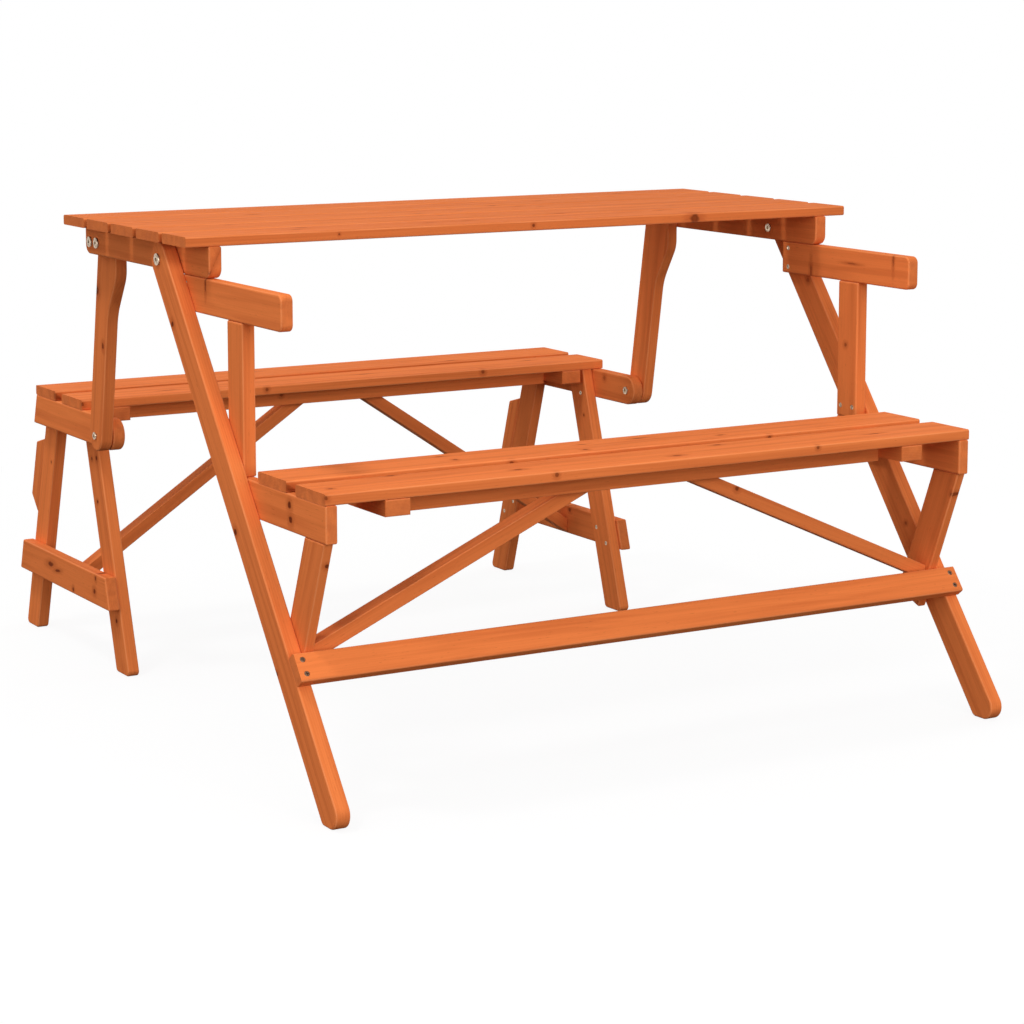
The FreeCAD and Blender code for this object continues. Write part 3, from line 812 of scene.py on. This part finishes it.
@dataclass(frozen=True)
class FastenerKind:
    """A kind of fastener, as rings from the rim of its top down to its tip.

    Args:
        rings: The outline; the first ring bounds the top face.
        recess: What a tool grips.
        grip: The width of the recess in millimetres.
        depth: The depth of the recess in millimetres.
        sides: How many sides each ring has.
    """

    rings: tuple[Ring, ...]
    recess: Recess
    grip: float
    depth: float
    sides: int = 48

    def shape(self, place: Matrix) -> Skin:
        """Make one fastener.

        Args:
            place: Puts the point under the head at the surface and +Z outwards.

        Returns:
            The closed skin of the fastener.
        """
        skin = bmesh.new()
        top = self.rings[0]
        radius = top.radius * MM
        made = bmesh.ops.create_circle(skin, cap_ends=True, segments=self.sides, radius=radius)
        bmesh.ops.translate(skin, verts=made["verts"], vec=(0, 0, top.height * MM))
        if self.recess is Recess.CROSS:
            self.cut_cross(skin)
        else:
            self.cut_socket(skin)
        rim = [edge for edge in skin.edges if edge.is_boundary]
        for ring in self.rings[1:]:
            rim = self.step_down(skin, rim, ring)
        bmesh.ops.contextual_create(skin, geom=rim)
        bmesh.ops.remove_doubles(skin, verts=skin.verts, dist=MERGE_DISTANCE / 2)
        bmesh.ops.recalc_face_normals(skin, faces=skin.faces)
        bmesh.ops.transform(skin, matrix=place, verts=skin.verts)
        return skin

    def step_down(self, skin: Skin, rim: list[Edge], ring: Ring) -> list[Edge]:
        """Extrude the open rim to the next ring.

        Args:
            skin: The fastener so far.
            rim: The edges round its open end.
            ring: Where they go.

        Returns:
            The edges round the new open end.
        """
        made = bmesh.ops.extrude_edge_only(skin, edges=rim)["geom"]
        for vertex in [part for part in made if isinstance(part, Corner)]:
            flat = Vector((vertex.co.x, vertex.co.y, 0)).normalized() * ring.radius * MM
            vertex.co = (flat.x, flat.y, ring.height * MM)
        return [part for part in made if isinstance(part, Edge) and part.is_boundary]

    def cut_cross(self, skin: Skin) -> None:
        """Press a cross into the flat top.

        Args:
            skin: The fastener's top.
        """
        height = self.rings[0].height * MM
        arm = self.grip * MM / 2
        slot = arm * CROSS_SLOT
        for normal in ((1, 0, 0), (0, 1, 0)):
            for distance in (-arm, -slot, slot, arm):
                parts = skin.verts[:] + skin.edges[:] + skin.faces[:]
                point = (normal[0] * distance, normal[1] * distance, height)
                bmesh.ops.bisect_plane(skin, geom=parts, plane_co=point, plane_no=normal)
        cross = []
        for face in skin.faces:
            centre = face.calc_center_median()
            x, y = abs(centre.x), abs(centre.y)
            if max(x, y) < arm and min(x, y) < slot:
                cross.append(face)
        self.press(skin, cross, CROSS_FLOOR)

    def cut_socket(self, skin: Skin) -> None:
        """Press a hexagon into the flat top.

        Args:
            skin: The fastener's top.
        """
        top = skin.faces[:]
        inside = (self.rings[0].radius - self.grip / 2) * MM
        bmesh.ops.inset_region(skin, faces=top, thickness=inside)
        corner = math.tau / SOCKET_SIDES
        for vertex in top[0].verts:
            angle = math.atan2(vertex.co.y, vertex.co.x)
            off = (angle + corner / 2) % corner - corner / 2
            reach = self.grip / 2 * MM / math.cos(off)
            vertex.co.x = reach * math.cos(angle)
            vertex.co.y = reach * math.sin(angle)
        self.press(skin, top, SOCKET_FLOOR)

    def press(self, skin: Skin, faces: list[Face], narrowing: float) -> None:
        """Sink faces by the recess's depth, a little narrower at the bottom.

        Args:
            skin: The fastener's top.
            faces: The faces to sink.
            narrowing: The bottom's width as a share of the mouth's.
        """
        made = bmesh.ops.extrude_face_region(skin, geom=faces)["geom"]
        bmesh.ops.delete(skin, geom=faces, context="FACES_ONLY")
        low = [part for part in made if isinstance(part, Corner)]
        bmesh.ops.scale(skin, verts=low, vec=(narrowing, narrowing, 1))
        bmesh.ops.translate(skin, verts=low, vec=(0, 0, -self.depth * MM))


WOOD_SCREW = FastenerKind(
    (
        Ring(3.4, -0.2), Ring(3.7, -0.4), Ring(3.6, -0.9), Ring(2.0, -2.5), Ring(2.0, -10.0),
        Ring(1.7, -10.6), Ring(1.7, -30.0), Ring(0.3, -34.0),
    ),
    Recess.CROSS, grip=4.6, depth=1.5,
)
COACH_SCREW = FastenerKind(
    (
        Ring(7.5, 3.0), Ring(8.2, 2.7), Ring(8.5, 2.0), Ring(8.5, 0.2), Ring(8.3, 0.0),
        Ring(3.0, 0.0), Ring(3.0, -20.0), Ring(2.6, -21.0), Ring(2.6, -31.0), Ring(0.6, -34.0),
    ),
    Recess.HEX_SOCKET, grip=5.0, depth=2.0,
)
UPPER_BOLT = FastenerKind(
    (
        Ring(8.0, 3.0), Ring(8.7, 2.7), Ring(9.0, 2.0), Ring(9.0, 0.2), Ring(8.8, 0.0),
        Ring(4.0, 0.0), Ring(4.0, -29.0), Ring(3.5, -29.5), Ring(3.0, -29.5),
        Ring(3.0, -41.0), Ring(2.5, -41.5),
    ),
    Recess.HEX_SOCKET, grip=5.0, depth=2.0,
)
LOWER_BOLT = FastenerKind(
    (
        Ring(5.1, 2.6), Ring(5.7, 2.3), Ring(6.0, 1.7), Ring(6.0, 0.2), Ring(5.8, 0.0),
        Ring(4.0, 0.0), Ring(4.0, -26.5), Ring(3.5, -27.0), Ring(3.0, -27.0),
        Ring(3.0, -38.5), Ring(2.5, -39.0),
    ),
    Recess.HEX_SOCKET, grip=5.0, depth=2.0,
)
CAP_NUT = FastenerKind(
    (
        Ring(5.9, 2.5), Ring(6.5, 2.2), Ring(6.75, 1.6), Ring(6.75, 0.2), Ring(6.6, 0.0),
        Ring(4.0, 0.0), Ring(4.0, -14.0), Ring(3.05, -14.0), Ring(3.05, -2.0),
    ),
    Recess.HEX_SOCKET, grip=5.0, depth=2.0,
)


@dataclass
class FastenerSet:
    """The fasteners of one CAD node, made anew with their recesses.

    Args:
        node: The CAD node that they stand for.
        body: The body that they ride on.
        kind: Their kind.
        heads_inside: Whether the heads face the middle of the table.
        head_height: How far the head's top stands above the surface, in millimetres.
        lean: Outward direction of those that are driven across the table's length.
    """

    node: str
    body: Body
    kind: FastenerKind
    heads_inside: bool = False
    head_height: float = 0.0
    lean: Vector = field(default_factory=lambda: Vector((0, -1, 0)))

    def build(self, steel: Material) -> bpy.types.Object:
        """Make one fastener at each place of the CAD node's and join them.

        Args:
            steel: The material of the fasteners.

        Returns:
            The finished piece.
        """
        name = f"{self.node}_zinc"
        whole = bmesh.new()
        places = self.places()
        stretcher_darkening = []
        for place in places:
            one = self.kind.shape(place)
            # Only the stretcher's screws, which aren't driven along the table, are darkened.
            slanted = abs(place.col[2].x) < SLANTED
            stretcher_darkening += [float(slanted)] * len(one.verts)
            mesh = bpy.data.meshes.new(name)
            one.to_mesh(mesh)
            one.free()
            whole.from_mesh(mesh)
            bpy.data.meshes.remove(mesh)
        mesh = shaded_mesh(whole, name, FASTENER_SHARP_ANGLE)
        mesh.attributes.new("stretcher_darkening", "FLOAT", "POINT").data.foreach_set("value", stretcher_darkening)
        mesh.materials.append(steel)
        piece = place_in_scene(name, mesh)
        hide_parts(self.node)
        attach(piece, self.body.value)
        log.info("fasteners %s, %d of them", piece.name, len(places))
        return piece

    def places(self) -> list[Matrix]:
        """Find each fastener's axis and head in the CAD node.

        Returns:
            For each fastener, what puts one of its kind there.
        """
        made = []
        for points in self.islands():
            centre = sum(points, Vector()) / len(points)
            outward = self.outward(points, centre)
            reach = max((point - centre).dot(outward) for point in points)
            surface = centre + outward * (reach - self.head_height * MM)
            aim = outward.to_track_quat("Z", "Y").to_matrix().to_4x4()
            turn = Matrix.Rotation(len(made) * NEXT_TURN, 4, "Z")
            made.append(Matrix.Translation(surface) @ aim @ turn)
        return made

    def outward(self, points: list[Vector], centre: Vector) -> Vector:
        """The direction that a fastener's head faces.

        Args:
            points: The points of its CAD solid.
            centre: Their mean.

        Returns:
            The direction, of length 1.
        """
        length_x = max(point.x for point in points) - min(point.x for point in points)
        length_z = max(point.z for point in points) - min(point.z for point in points)
        if length_x < length_z:
            return self.lean
        sign = math.copysign(1, centre.x) * (-1 if self.heads_inside else 1)
        return Vector((sign, 0, 0))

    def islands(self) -> list[list[Vector]]:
        """Take the CAD node apart into its separate solids.

        Returns:
            The points of each solid. The solids are in order along X, Y and Z.
        """
        skin = merged_copy(self.node)
        made = []
        reached = set()
        for start in skin.verts:
            if start in reached:
                continue
            reached.add(start)
            near = [start]
            island = []
            while near:
                vertex = near.pop()
                island.append(vertex.co.copy())
                linked = [edge.other_vert(vertex) for edge in vertex.link_edges]
                new = [other for other in linked if other not in reached]
                reached.update(new)
                near.extend(new)
            made.append(island)
        skin.free()
        return sorted(made, key=self.rounded_centre)

    @staticmethod
    def rounded_centre(points: list[Vector]) -> Point:
        """The mean of some points, to the millimetre."""
        return tuple(round(part, 3) for part in sum(points, Vector()) / len(points))


@dataclass
class Assembly:
    """Boards and fasteners that move as one body.

    Args:
        body: The body.
        looks: What the photograph shows of single boards, by node.
    """

    body: Body
    looks: dict[str, Look]

    def board(self, node: str, along: Vector, through: Vector, number: int) -> Board:
        """One board with the look that the photograph gives it.

        Args:
            node: The CAD node that it stands for.
            along: The direction of the grain in the frame.
            through: The direction of the thickness in the frame.
            number: The board's own number.

        Returns:
            The board.
        """
        return Board(node, self.body, along, through, number, self.looks.get(node, Look()))

    def boards(self) -> list[Board]:
        """The boards of this assembly."""
        raise NotImplementedError

    def fasteners(self) -> list[FastenerSet]:
        """The fasteners of this assembly."""
        raise NotImplementedError

    def build(self, wood: Material, steel: Material) -> None:
        """Make every piece.

        Args:
            wood: The material of the boards.
            steel: The material of the fasteners.
        """
        for board in self.boards():
            board.build(wood)
        for fasteners in self.fasteners():
            fasteners.build(steel)


def tabletop_looks() -> dict[str, Look]:
    """What the photograph shows of the tabletop's boards.

    Returns:
        The looks by node.
    """
    slat_knots = {
        1: (dash(-411, 210, 750), dash(-240, 204, 750), dash(404, 161, 750, 1.6), dash(-27, 154, 750)),
        2: (dash(-321, 70, 750, 1.6), dash(88, 38, 750), dash(210, 95, 750)),
        3: (dash(-86, -38, 750, 1.6), dash(-8, -25, 750), dash(144, -20, 750), dash(122, 9, 750)),
        4: (dash(-434, -88, 750), dash(-82, -98, 750), dash(332, -113, 750), dash(103, -150, 750, 1.6)),
        5: (
            dash(-362, -185, 750, 1.6), dash(-380, -210, 750, 1.4), dash(-97, -204, 750, 1.6),
            dash(-161, -207, 750), dash(271, -178, 750),
            Knot((-334, -253, 744), (0, 1, -0.4), 1.4), Knot((-7, -253, 743), (0, 1, -0.4), 2.2),
            Knot((285, -253, 741), (0.1, 1, -0.45), 7.5),
        ),
    }
    looks = {}
    for i, knots in slat_knots.items():
        # The slats' tone of 0.9 is painted shade: the tabletop gets the most light, so its colour is
        # made darker.
        looks[f"table_slat_{i}"] = Look(knots, tone=0.9, knot_strength=0.75)
    looks["table_cleat_left"] = Look((Knot((-540, -251, 694), (0.5, 0, 1), 1.8),))
    arm_knots = (
        Knot((-519, 222, 629), (1, 0, 0.6), 5.5), Knot((-519, 203, 543), (1, 0.05, 0.9), 3.4),
    )
    # The link arms' tones are painted light: the left arm made a little darker, the right one, in
    # shade, lighter.
    looks["link_arm_left"] = Look(arm_knots, tone=0.95, knot_strength=0.9)
    looks["link_arm_right"] = Look(tone=1.1, knot_strength=0.9)
    return looks


@dataclass
class Tabletop(Assembly):
    """The part that turns: five slats, two cleats and the two link arms.

    Args:
        slats: How many slats the top has.
        arm_lean: How far the link arms lean back from upright, in degrees.
        cleat_number: The middle between the two cleats' own numbers.
        arm_number: The same for the link arms.
    """

    body: Body = Body.TABLE
    looks: dict[str, Look] = field(default_factory=tabletop_looks)
    slats: int = 5
    arm_lean: float = -9.83
    cleat_number: int = 8
    arm_number: int = 12

    def boards(self) -> list[Board]:
        """The boards of the tabletop, from the rear slat to the right link arm.

        Returns:
            The boards.
        """
        made = []
        for i in range(1, self.slats + 1):
            made.append(self.board(f"table_slat_{i}", ALONG_TABLE, UPRIGHT, i))
        arm = leaning(self.arm_lean)
        for side in Side:
            cleat, link = f"table_cleat_{side.word}", f"link_arm_{side.word}"
            number = self.cleat_number + side.value
            made.append(self.board(cleat, FRONT_TO_REAR, ALONG_TABLE, number))
            made.append(self.board(link, arm, ALONG_TABLE, self.arm_number + side.value))
        return made

    def fasteners(self) -> list[FastenerSet]:
        """The coach screws that hold the link arms to the cleats."""
        return [FastenerSet("arm_coach_screws", self.body, COACH_SCREW, head_height=3.0)]


@dataclass
class Bench(Assembly):
    """A seat on two end frames, with a slanted brace from each of them.

    Args:
        first_number: The middle between the own numbers of its first pair of boards. The
            numbers of the other pairs follow, and then those of the boards that run along.
        brace_foot: Where the right brace starts, in millimetres.
        brace_tip: Where it ends, under the seat.
    """

    first_number: int
    brace_foot: Point
    brace_tip: Point

    def end_boards(self, brace: Vector) -> list[Cut]:
        """The boards that stand at each end.

        Args:
            brace: The direction of that end's brace.

        Returns:
            Their names without the side, and the directions of their grain and thickness.
        """
        raise NotImplementedError

    def long_boards(self) -> list[Cut]:
        """The boards that run along the table, as end_boards gives them."""
        raise NotImplementedError

    def boards(self) -> list[Board]:
        """The boards of the bench: those of the left end, of the right end, and the long ones.

        Returns:
            The boards.
        """
        made = []
        for side in Side:
            brace = Vector(self.brace_tip) - Vector(self.brace_foot)
            brace.x *= side.value
            cuts = self.end_boards(brace.normalized())
            for i, (name, along, through) in enumerate(cuts):
                number = self.first_number + i * NUMBERS_PER_PAIR + side.value
                made.append(self.board(f"{name}_{side.word}", along, through, number))
        first_long = self.first_number + len(cuts) * NUMBERS_PER_PAIR
        for i, (name, along, through) in enumerate(self.long_boards()):
            made.append(self.board(name, along, through, first_long + i))
        return made


def front_bench_looks() -> dict[str, Look]:
    """What the photograph shows of the front bench's boards.

    Returns:
        The looks by node.
    """
    # The tones below are partly the boards' own and partly painted light: above 1 on boards in shade,
    # below 1 on boards in much light.
    return {
        "long_leg_left": Look(
            (spot(-563, -380, 350, 4.2), spot(-563, -174, 619, 3.8), spot(-563, -508, 176)),
            knot_strength=1.0,
        ),
        "long_leg_right": Look(
            (spot(541, -205, 628, 3.5), spot(541, -470, 270, 2.5)),
            tone=1.06, knot_strength=0.35,
        ),
        "short_leg_left": Look((Knot((-530, -598, 338), (0.15, 1, 0.4)),), knot_strength=0.9),
        "short_leg_right": Look((spot(526, -598, 336),)),
        "front_bearer_left": Look(
            (spot(-541, -508, 407, 4.4), spot(-541, -511, 387, 4.4)),
            tone=1.05, knot_strength=1.0,
        ),
        "front_bearer_right": Look(tone=1.14),
        "armrest_left": Look((Knot((-541, -242, 682), (0.2, 0, 1), 2.0),), tone=1.05),
        "armrest_right": Look(
            (
                Knot((522, -450, 684), (0.14, 0, 1), 1.8), Knot((522, -238, 645), (0.2, 0, 1), 2.4),
                Knot((522, -345, 667), (0.1, 1, 0), 1.2),
            ),
            tone=1.09, knot_strength=0.4,
        ),
        "armrest_post_right": Look((spot(521, -334, 537, 2.8),), knot_strength=0.5),
        "front_brace_left": Look(tone=0.97),
        "front_brace_right": Look((Knot((170, -540, 369), (0, 1, 0.1)),), tone=0.92),
        "front_seat_rail": Look((Knot((300, -540, 398), (0.3, 1, 0.8)),), knot_strength=0.5),
        "front_seat_slat_rear": Look(
            (
                Knot((-260, -463, 438), radius=3.2), dash(-267, -429, 438),
                Knot((-56, -482, 438), (0.6, 0, 1), 3.2), dash(-37, -441, 438),
                dash(66, -435, 438, 1.8), Knot((187, -471, 438), (1, 0, 0.5), 2.0),
                Knot((-189, -499, 431), (0.2, 1, -0.4), 3.2),
                Knot((257, -499, 432), (0.2, 1, -0.4), 2.8),
                # Painted shade, drawn as a knot: a dark mark on the rear slat's front face, in the gap
                # between the slats at its left end.
                Knot((-540, -502, 429), (1, 0.1, -0.7), 4.6),
            ),
            tone=1.06, knot_strength=0.6,
        ),
        "front_seat_slat_front": Look(
            (
                Knot((-515, -580, 438), (0.7, 0, 1), 2.8), Knot((-400, -532, 438), (1, 0, 0.5), 2.6),
                Knot((-225, -578, 438), (1, 0, 0.5), 3.0), Knot((131, -543, 438), (1, 0, 0.5), 2.6),
                Knot((29, -592, 438), (1, 0, 0.5), 3.2), dash(391, -577, 438, 1.8),
                Knot((-186, -617, 433), (0, 1, -0.4), 2.8), Knot((259, -617, 434), (0, 1, -0.4), 2.4),
                # Painted shade, drawn as a knot: a dark mark at the slat's left front corner.
                Knot((-539, -615, 432), (0.6, 1, -0.8), 2.4),
            ),
            tone=1.05, knot_strength=0.6,
        ),
        "front_stretcher": Look((Knot((-350, -590, 190), (1, 0, 0.1), 1.2),), tone=1.06),
    }


@dataclass
class FrontBench(Bench):
    """The part that stands still: long legs, front seat, armrests and stretcher.

    Args:
        long_leg_lean: How far the long legs lean to the rear, in degrees.
        short_leg_lean: The same for the short legs, which lean to the front.
    """

    body: Body = Body.FRONT_BENCH
    looks: dict[str, Look] = field(default_factory=front_bench_looks)
    first_number: int = 21
    brace_foot: Point = (526.0, 0.0, 195.0)
    brace_tip: Point = (8.0, 0.0, 422.0)
    long_leg_lean: float = 37.79
    short_leg_lean: float = -21.7

    def end_boards(self, brace: Vector) -> list[Cut]:
        """The boards that stand at each end.

        Args:
            brace: The direction of that end's brace.

        Returns:
            Their names without the side, and the directions of their grain and thickness.
        """
        return [
            ("long_leg", leaning(self.long_leg_lean), ALONG_TABLE),
            ("short_leg", leaning(self.short_leg_lean), ALONG_TABLE),
            ("front_bearer", FRONT_TO_REAR, ALONG_TABLE),
            ("armrest", FRONT_TO_REAR, ALONG_TABLE),
            ("armrest_post", UPRIGHT, ALONG_TABLE),
            ("front_seat_batten", FRONT_TO_REAR, UPRIGHT),
            ("front_brace", brace, FRONT_TO_REAR),
        ]

    def long_boards(self) -> list[Cut]:
        """The boards that run along the table. The stretcher lies on the slanted long legs.

        Returns:
            Their names, and the directions of their grain and thickness.
        """
        return [
            ("front_seat_slat_front", ALONG_TABLE, UPRIGHT),
            ("front_seat_slat_rear", ALONG_TABLE, UPRIGHT),
            ("front_seat_rail", ALONG_TABLE, FRONT_TO_REAR),
            ("front_stretcher", ALONG_TABLE, leaning(self.long_leg_lean - 90)),
        ]

    def fasteners(self) -> list[FastenerSet]:
        """Screws of the front bench and the upper pivots.

        Returns:
            The fasteners. The stretcher's screws face the way that its front does.
        """
        front = leaning(self.long_leg_lean - 90)
        return [
            FastenerSet("front_bench_screws", self.body, WOOD_SCREW, heads_inside=True, lean=front),
            FastenerSet("upper_pivot_bolts", self.body, UPPER_BOLT, head_height=3.0),
            FastenerSet("upper_pivot_nuts", self.body, CAP_NUT, heads_inside=True, head_height=2.5),
        ]


def rear_bench_looks() -> dict[str, Look]:
    """What the photograph shows of the rear bench's boards.

    Returns:
        The looks by node.
    """
    # The tones below are partly the boards' own and partly painted light: above 1 on boards in shade,
    # below 1 on boards in much light.
    return {
        "rear_end_stretcher_left": Look(
            (
                Knot((-498, 309, 150), (1, 0, 0.6), 2.8), spot(-498, 315, 127, 4.2),
                Knot((-498, 409, 113), (1, 0, 0.6), 3.0),
                Knot((-498, 513, 137), (0.35, 1, -0.1), 3.6),
                Knot((-498, 482, 131), (0.22, 1, -0.15), 2.2),
            ),
            knot_strength=0.85,
        ),
        "rear_end_stretcher_right": Look((spot(478, 431, 150, 3.6), spot(478, 560, 130, 2.6))),
        "rear_bench_front_leg_left": Look(
            (
                spot(-478, 344, 341), spot(-478, 364, 337, 2.4), spot(-478, 343, 269, 2.6),
                spot(-478, 273, 217, 2.2), spot(-478, 272, 84, 3.4),
            ),
            knot_strength=1.0,
        ),
        "rear_bench_front_leg_right": Look(tone=1.08),
        "rear_bench_back_leg_left": Look(tone=1.12),
        "rear_bearer_left": Look(tone=1.09),
        "rear_bearer_right": Look((spot(478, 314, 409, 3.4),), knot_strength=0.3),
        "rear_seat_slat_front": Look(
            (
                dash(373, 410, 436, 1.6), Knot((250, 352, 431), (0, 1, -0.4), 3.2),
                Knot((-168, 352, 430), (0, 1, -0.4), 2.8), dash(-330, 390, 436, 1.6),
                # The knot at x -497 below is painted shade: a dark mark at the slat's left front
                # corner.
                dash(40, 400, 436, 1.6), Knot((-497, 353, 429), (0.6, 1, -0.8), 2.4),
            ),
            tone=1.05, knot_strength=0.55,
        ),
        "rear_seat_slat_rear": Look(
            (
                dash(254, 480, 436, 1.8), dash(-120, 520, 436, 1.8),
                # Painted shade, drawn as a knot: a dark mark on the rear slat's front face, in the gap
                # between the slats at its left end.
                Knot((-498, 472, 427), (1, 0.1, -0.7), 4.6),
            ),
            tone=1.05, knot_strength=0.55,
        ),
        "rear_seat_rail": Look(
            (Knot((-110, 418, 408), (0, 1, 0), 2.6),), tone=1.2, knot_strength=0.4
        ),
    }


@dataclass
class RearBench(Bench):
    """The part that the link arms carry: rear seat, its four legs and stretchers.

    Args:
        leg_splay: How far its legs lean from upright, in degrees.
    """

    body: Body = Body.REAR_BENCH
    looks: dict[str, Look] = field(default_factory=rear_bench_looks)
    first_number: int = 51
    brace_foot: Point = (478.5, 0.0, 107.0)
    brace_tip: Point = (8.0, 0.0, 420.0)
    leg_splay: float = 17.4

    def end_boards(self, brace: Vector) -> list[Cut]:
        """The boards that stand at each end.

        Args:
            brace: The direction of that end's brace.

        Returns:
            Their names without the side, and the directions of their grain and thickness.
        """
        front, back = leaning(self.leg_splay), leaning(-self.leg_splay)
        return [
            ("rear_bearer", FRONT_TO_REAR, ALONG_TABLE),
            ("rear_bench_front_leg", front, ALONG_TABLE),
            ("rear_bench_back_leg", back, ALONG_TABLE),
            ("rear_end_stretcher", FRONT_TO_REAR, ALONG_TABLE),
            ("stop_block", back, ALONG_TABLE),
            ("rear_seat_batten", FRONT_TO_REAR, UPRIGHT),
            ("rear_brace", brace, FRONT_TO_REAR),
        ]

    def long_boards(self) -> list[Cut]:
        """The boards that run along the table.

        Returns:
            Their names, and the directions of their grain and thickness.
        """
        return [
            ("rear_seat_slat_front", ALONG_TABLE, UPRIGHT),
            ("rear_seat_slat_rear", ALONG_TABLE, UPRIGHT),
            ("rear_seat_rail", ALONG_TABLE, FRONT_TO_REAR),
        ]

    def fasteners(self) -> list[FastenerSet]:
        """Screws of the rear bench and the lower pivots.

        Returns:
            The fasteners.
        """
        return [
            FastenerSet("rear_bench_screws", self.body, WOOD_SCREW, heads_inside=True),
            FastenerSet("lower_pivot_bolts", self.body, LOWER_BOLT, head_height=2.6),
            FastenerSet("lower_pivot_nuts", self.body, CAP_NUT, heads_inside=True, head_height=2.5),
        ]


@dataclass(frozen=True)
class Lamp:
    """A soft box in the studio.

    Args:
        name: The lamp's name.
        place: Where it hangs, in metres.
        width: The side of its square face, in metres.
        watts: Its power.
        aim: The point that it faces, in metres.
    """

    name: str
    place: Point
    width: float
    watts: float
    aim: Point = (0.0, 0.0, 0.4)

    def build(self) -> None:
        """Hang the lamp."""
        light = bpy.data.lights.new(self.name, "AREA")
        light.shape = "SQUARE"
        light.size = self.width
        light.energy = self.watts
        lamp = place_in_scene(self.name, light)
        lamp.location = self.place
        forward = Vector(self.aim) - Vector(self.place)
        lamp.rotation_euler = forward.to_track_quat("-Z", "Y").to_euler()


@dataclass(frozen=True)
class Studio:
    """A white studio: pale floor that fades into a white surround, soft boxes, the camera.

    Args:
        eye: Where the camera stands, in metres.
        turn: How far it is turned to the right of the table's rear, in degrees.
        tilt: How far it looks up, in degrees.
        lens: Its focal length in millimetres, for a film of the width given.
        film_width: That width in millimetres.
        shift: How far the picture is shifted up, as a share of its width.
        reach: How far the camera sees, in metres.
        surround: The strength of the even light from all round.
        floor_radius: The floor's radius in metres.
        floor_sides: How many sides the floor has.
        floor_grey: The floor's colour in the light that it throws back on the object.
        shadow_fade: How much of the shadow on the floor is whitened out, under the object.
        shadow_edge: From where to where the rest of it fades, in metres from the middle.
        lamps: The soft boxes.
    """

    eye: Point = (-2.1155, -3.7929, 1.0859)
    turn: float = 30.327
    tilt: float = -8.175
    lens: float = 96.374
    film_width: float = 36.0
    shift: float = -0.12
    reach: float = 500.0
    surround: float = 0.66
    floor_radius: float = 60.0
    floor_sides: int = 96
    floor_grey: str = "#B4B4B4"
    shadow_fade: float = 0.9
    shadow_edge: Span = (0.9, 2.2)
    lamps: tuple[Lamp, ...] = (
        Lamp("front soft box", (-0.5, -4.6, 1.6), width=2.6, watts=102.0),
        Lamp("left soft box", (-4.2, -0.8, 1.0), width=2.0, watts=27.0),
        Lamp("upper left soft box", (-1.8, 0.0, 3.4), width=0.45, watts=30.0),
        Lamp("right soft box", (3.4, 0.8, 1.6), width=2.0, watts=25.0),
        Lamp("rear soft box", (-0.6, 4.6, 1.8), width=2.4, watts=26.0),
    )

    def build(self) -> None:
        """Set up floor, surround, lamps, camera and view settings."""
        self.floor()
        self.world()
        for lamp in self.lamps:
            lamp.build()
        self.camera()
        bpy.context.scene.view_settings.view_transform = "Standard"

    def seen_directly(self, tree: Tree) -> Socket:
        """What tells the rays that only show a surface from those that light one.

        Args:
            tree: The node tree that gets the nodes.

        Returns:
            1 for rays from the camera and for what metal mirrors, otherwise 0.
        """
        rays = add_node(tree, "ShaderNodeLightPath")
        seen = rays.outputs["Is Camera Ray"]
        for name in ("Is Glossy Ray", "Is Transmission Ray"):
            either = {0: seen, 1: rays.outputs[name]}
            seen = add_node(tree, "ShaderNodeMath", either, operation="MAXIMUM").outputs[0]
        return seen

    def floor(self) -> None:
        """A pale floor that takes the object's shadow and fades to white away from it."""
        skin = bmesh.new()
        radius = self.floor_radius
        bmesh.ops.create_circle(skin, cap_ends=True, segments=self.floor_sides, radius=radius)
        mesh = bpy.data.meshes.new("studio_floor")
        skin.to_mesh(mesh)
        skin.free()
        mesh.materials.append(self.floor_paint())
        floor = place_in_scene("studio_floor", mesh)

    def floor_paint(self) -> Material:
        """Matt white paint under the object that becomes plain white light further out.

        Returns:
            The material, by the distance from the object's middle.
        """
        made = empty_material("floor_matt_white_paint")
        add = partial(add_node, made.node_tree)
        seen = self.seen_directly(made.node_tree)
        layers = {FACTOR: seen, UNDER: linear(self.floor_grey), OVER: linear(WHITE)}
        paint = add("ShaderNodeMix", layers, data_type="RGBA").outputs[MIXED]
        matt = add("ShaderNodeBsdfDiffuse", {"Color": paint})
        glow = add("ShaderNodeEmission", {"Strength": seen})
        place = add("ShaderNodeTexCoord").outputs["Object"]
        away = add("ShaderNodeVectorMath", {0: place}, operation="LENGTH").outputs["Value"]
        start, gone = self.shadow_edge
        span = {"Value": away, "From Min": start, "From Max": gone, "To Min": self.shadow_fade}
        fade = add("ShaderNodeMapRange", span, **SMOOTH)
        both = add("ShaderNodeMixShader", {0: fade, 1: matt, 2: glow})
        add("ShaderNodeOutputMaterial", {"Surface": both})
        return made

    def world(self) -> None:
        """White where it is seen, and an even soft light on the object."""
        world = bpy.data.worlds.new("studio surround")
        world.use_nodes = True
        world.node_tree.nodes.clear()
        add = partial(add_node, world.node_tree)
        seen = self.seen_directly(world.node_tree)
        span = {"Value": seen, "To Min": self.surround, "To Max": 1.0}
        strength = add("ShaderNodeMapRange", span)
        light = add("ShaderNodeBackground", {"Color": linear(WHITE), "Strength": strength})
        add("ShaderNodeOutputWorld", {"Surface": light})
        bpy.context.scene.world = world

    def camera(self) -> None:
        """The photograph's viewpoint."""
        lens = bpy.data.cameras.new("photograph")
        lens.lens = self.lens
        lens.sensor_width = self.film_width
        lens.shift_y = self.shift
        lens.clip_end = self.reach
        camera = place_in_scene("photograph", lens)
        camera.location = self.eye
        camera.rotation_euler = (math.radians(90 + self.tilt), 0, math.radians(-self.turn))
        bpy.context.scene.camera = camera


def main() -> None:
    """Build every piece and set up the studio."""
    logging.basicConfig(level=logging.INFO, format="%(message)s")
    wood = StainedPine().material()
    steel = ZincPlatedSteel().material()
    for assembly in (Tabletop(), FrontBench(), RearBench()):
        assembly.build(wood, steel)
    Studio().build()


if __name__ == "__main__":
    main()
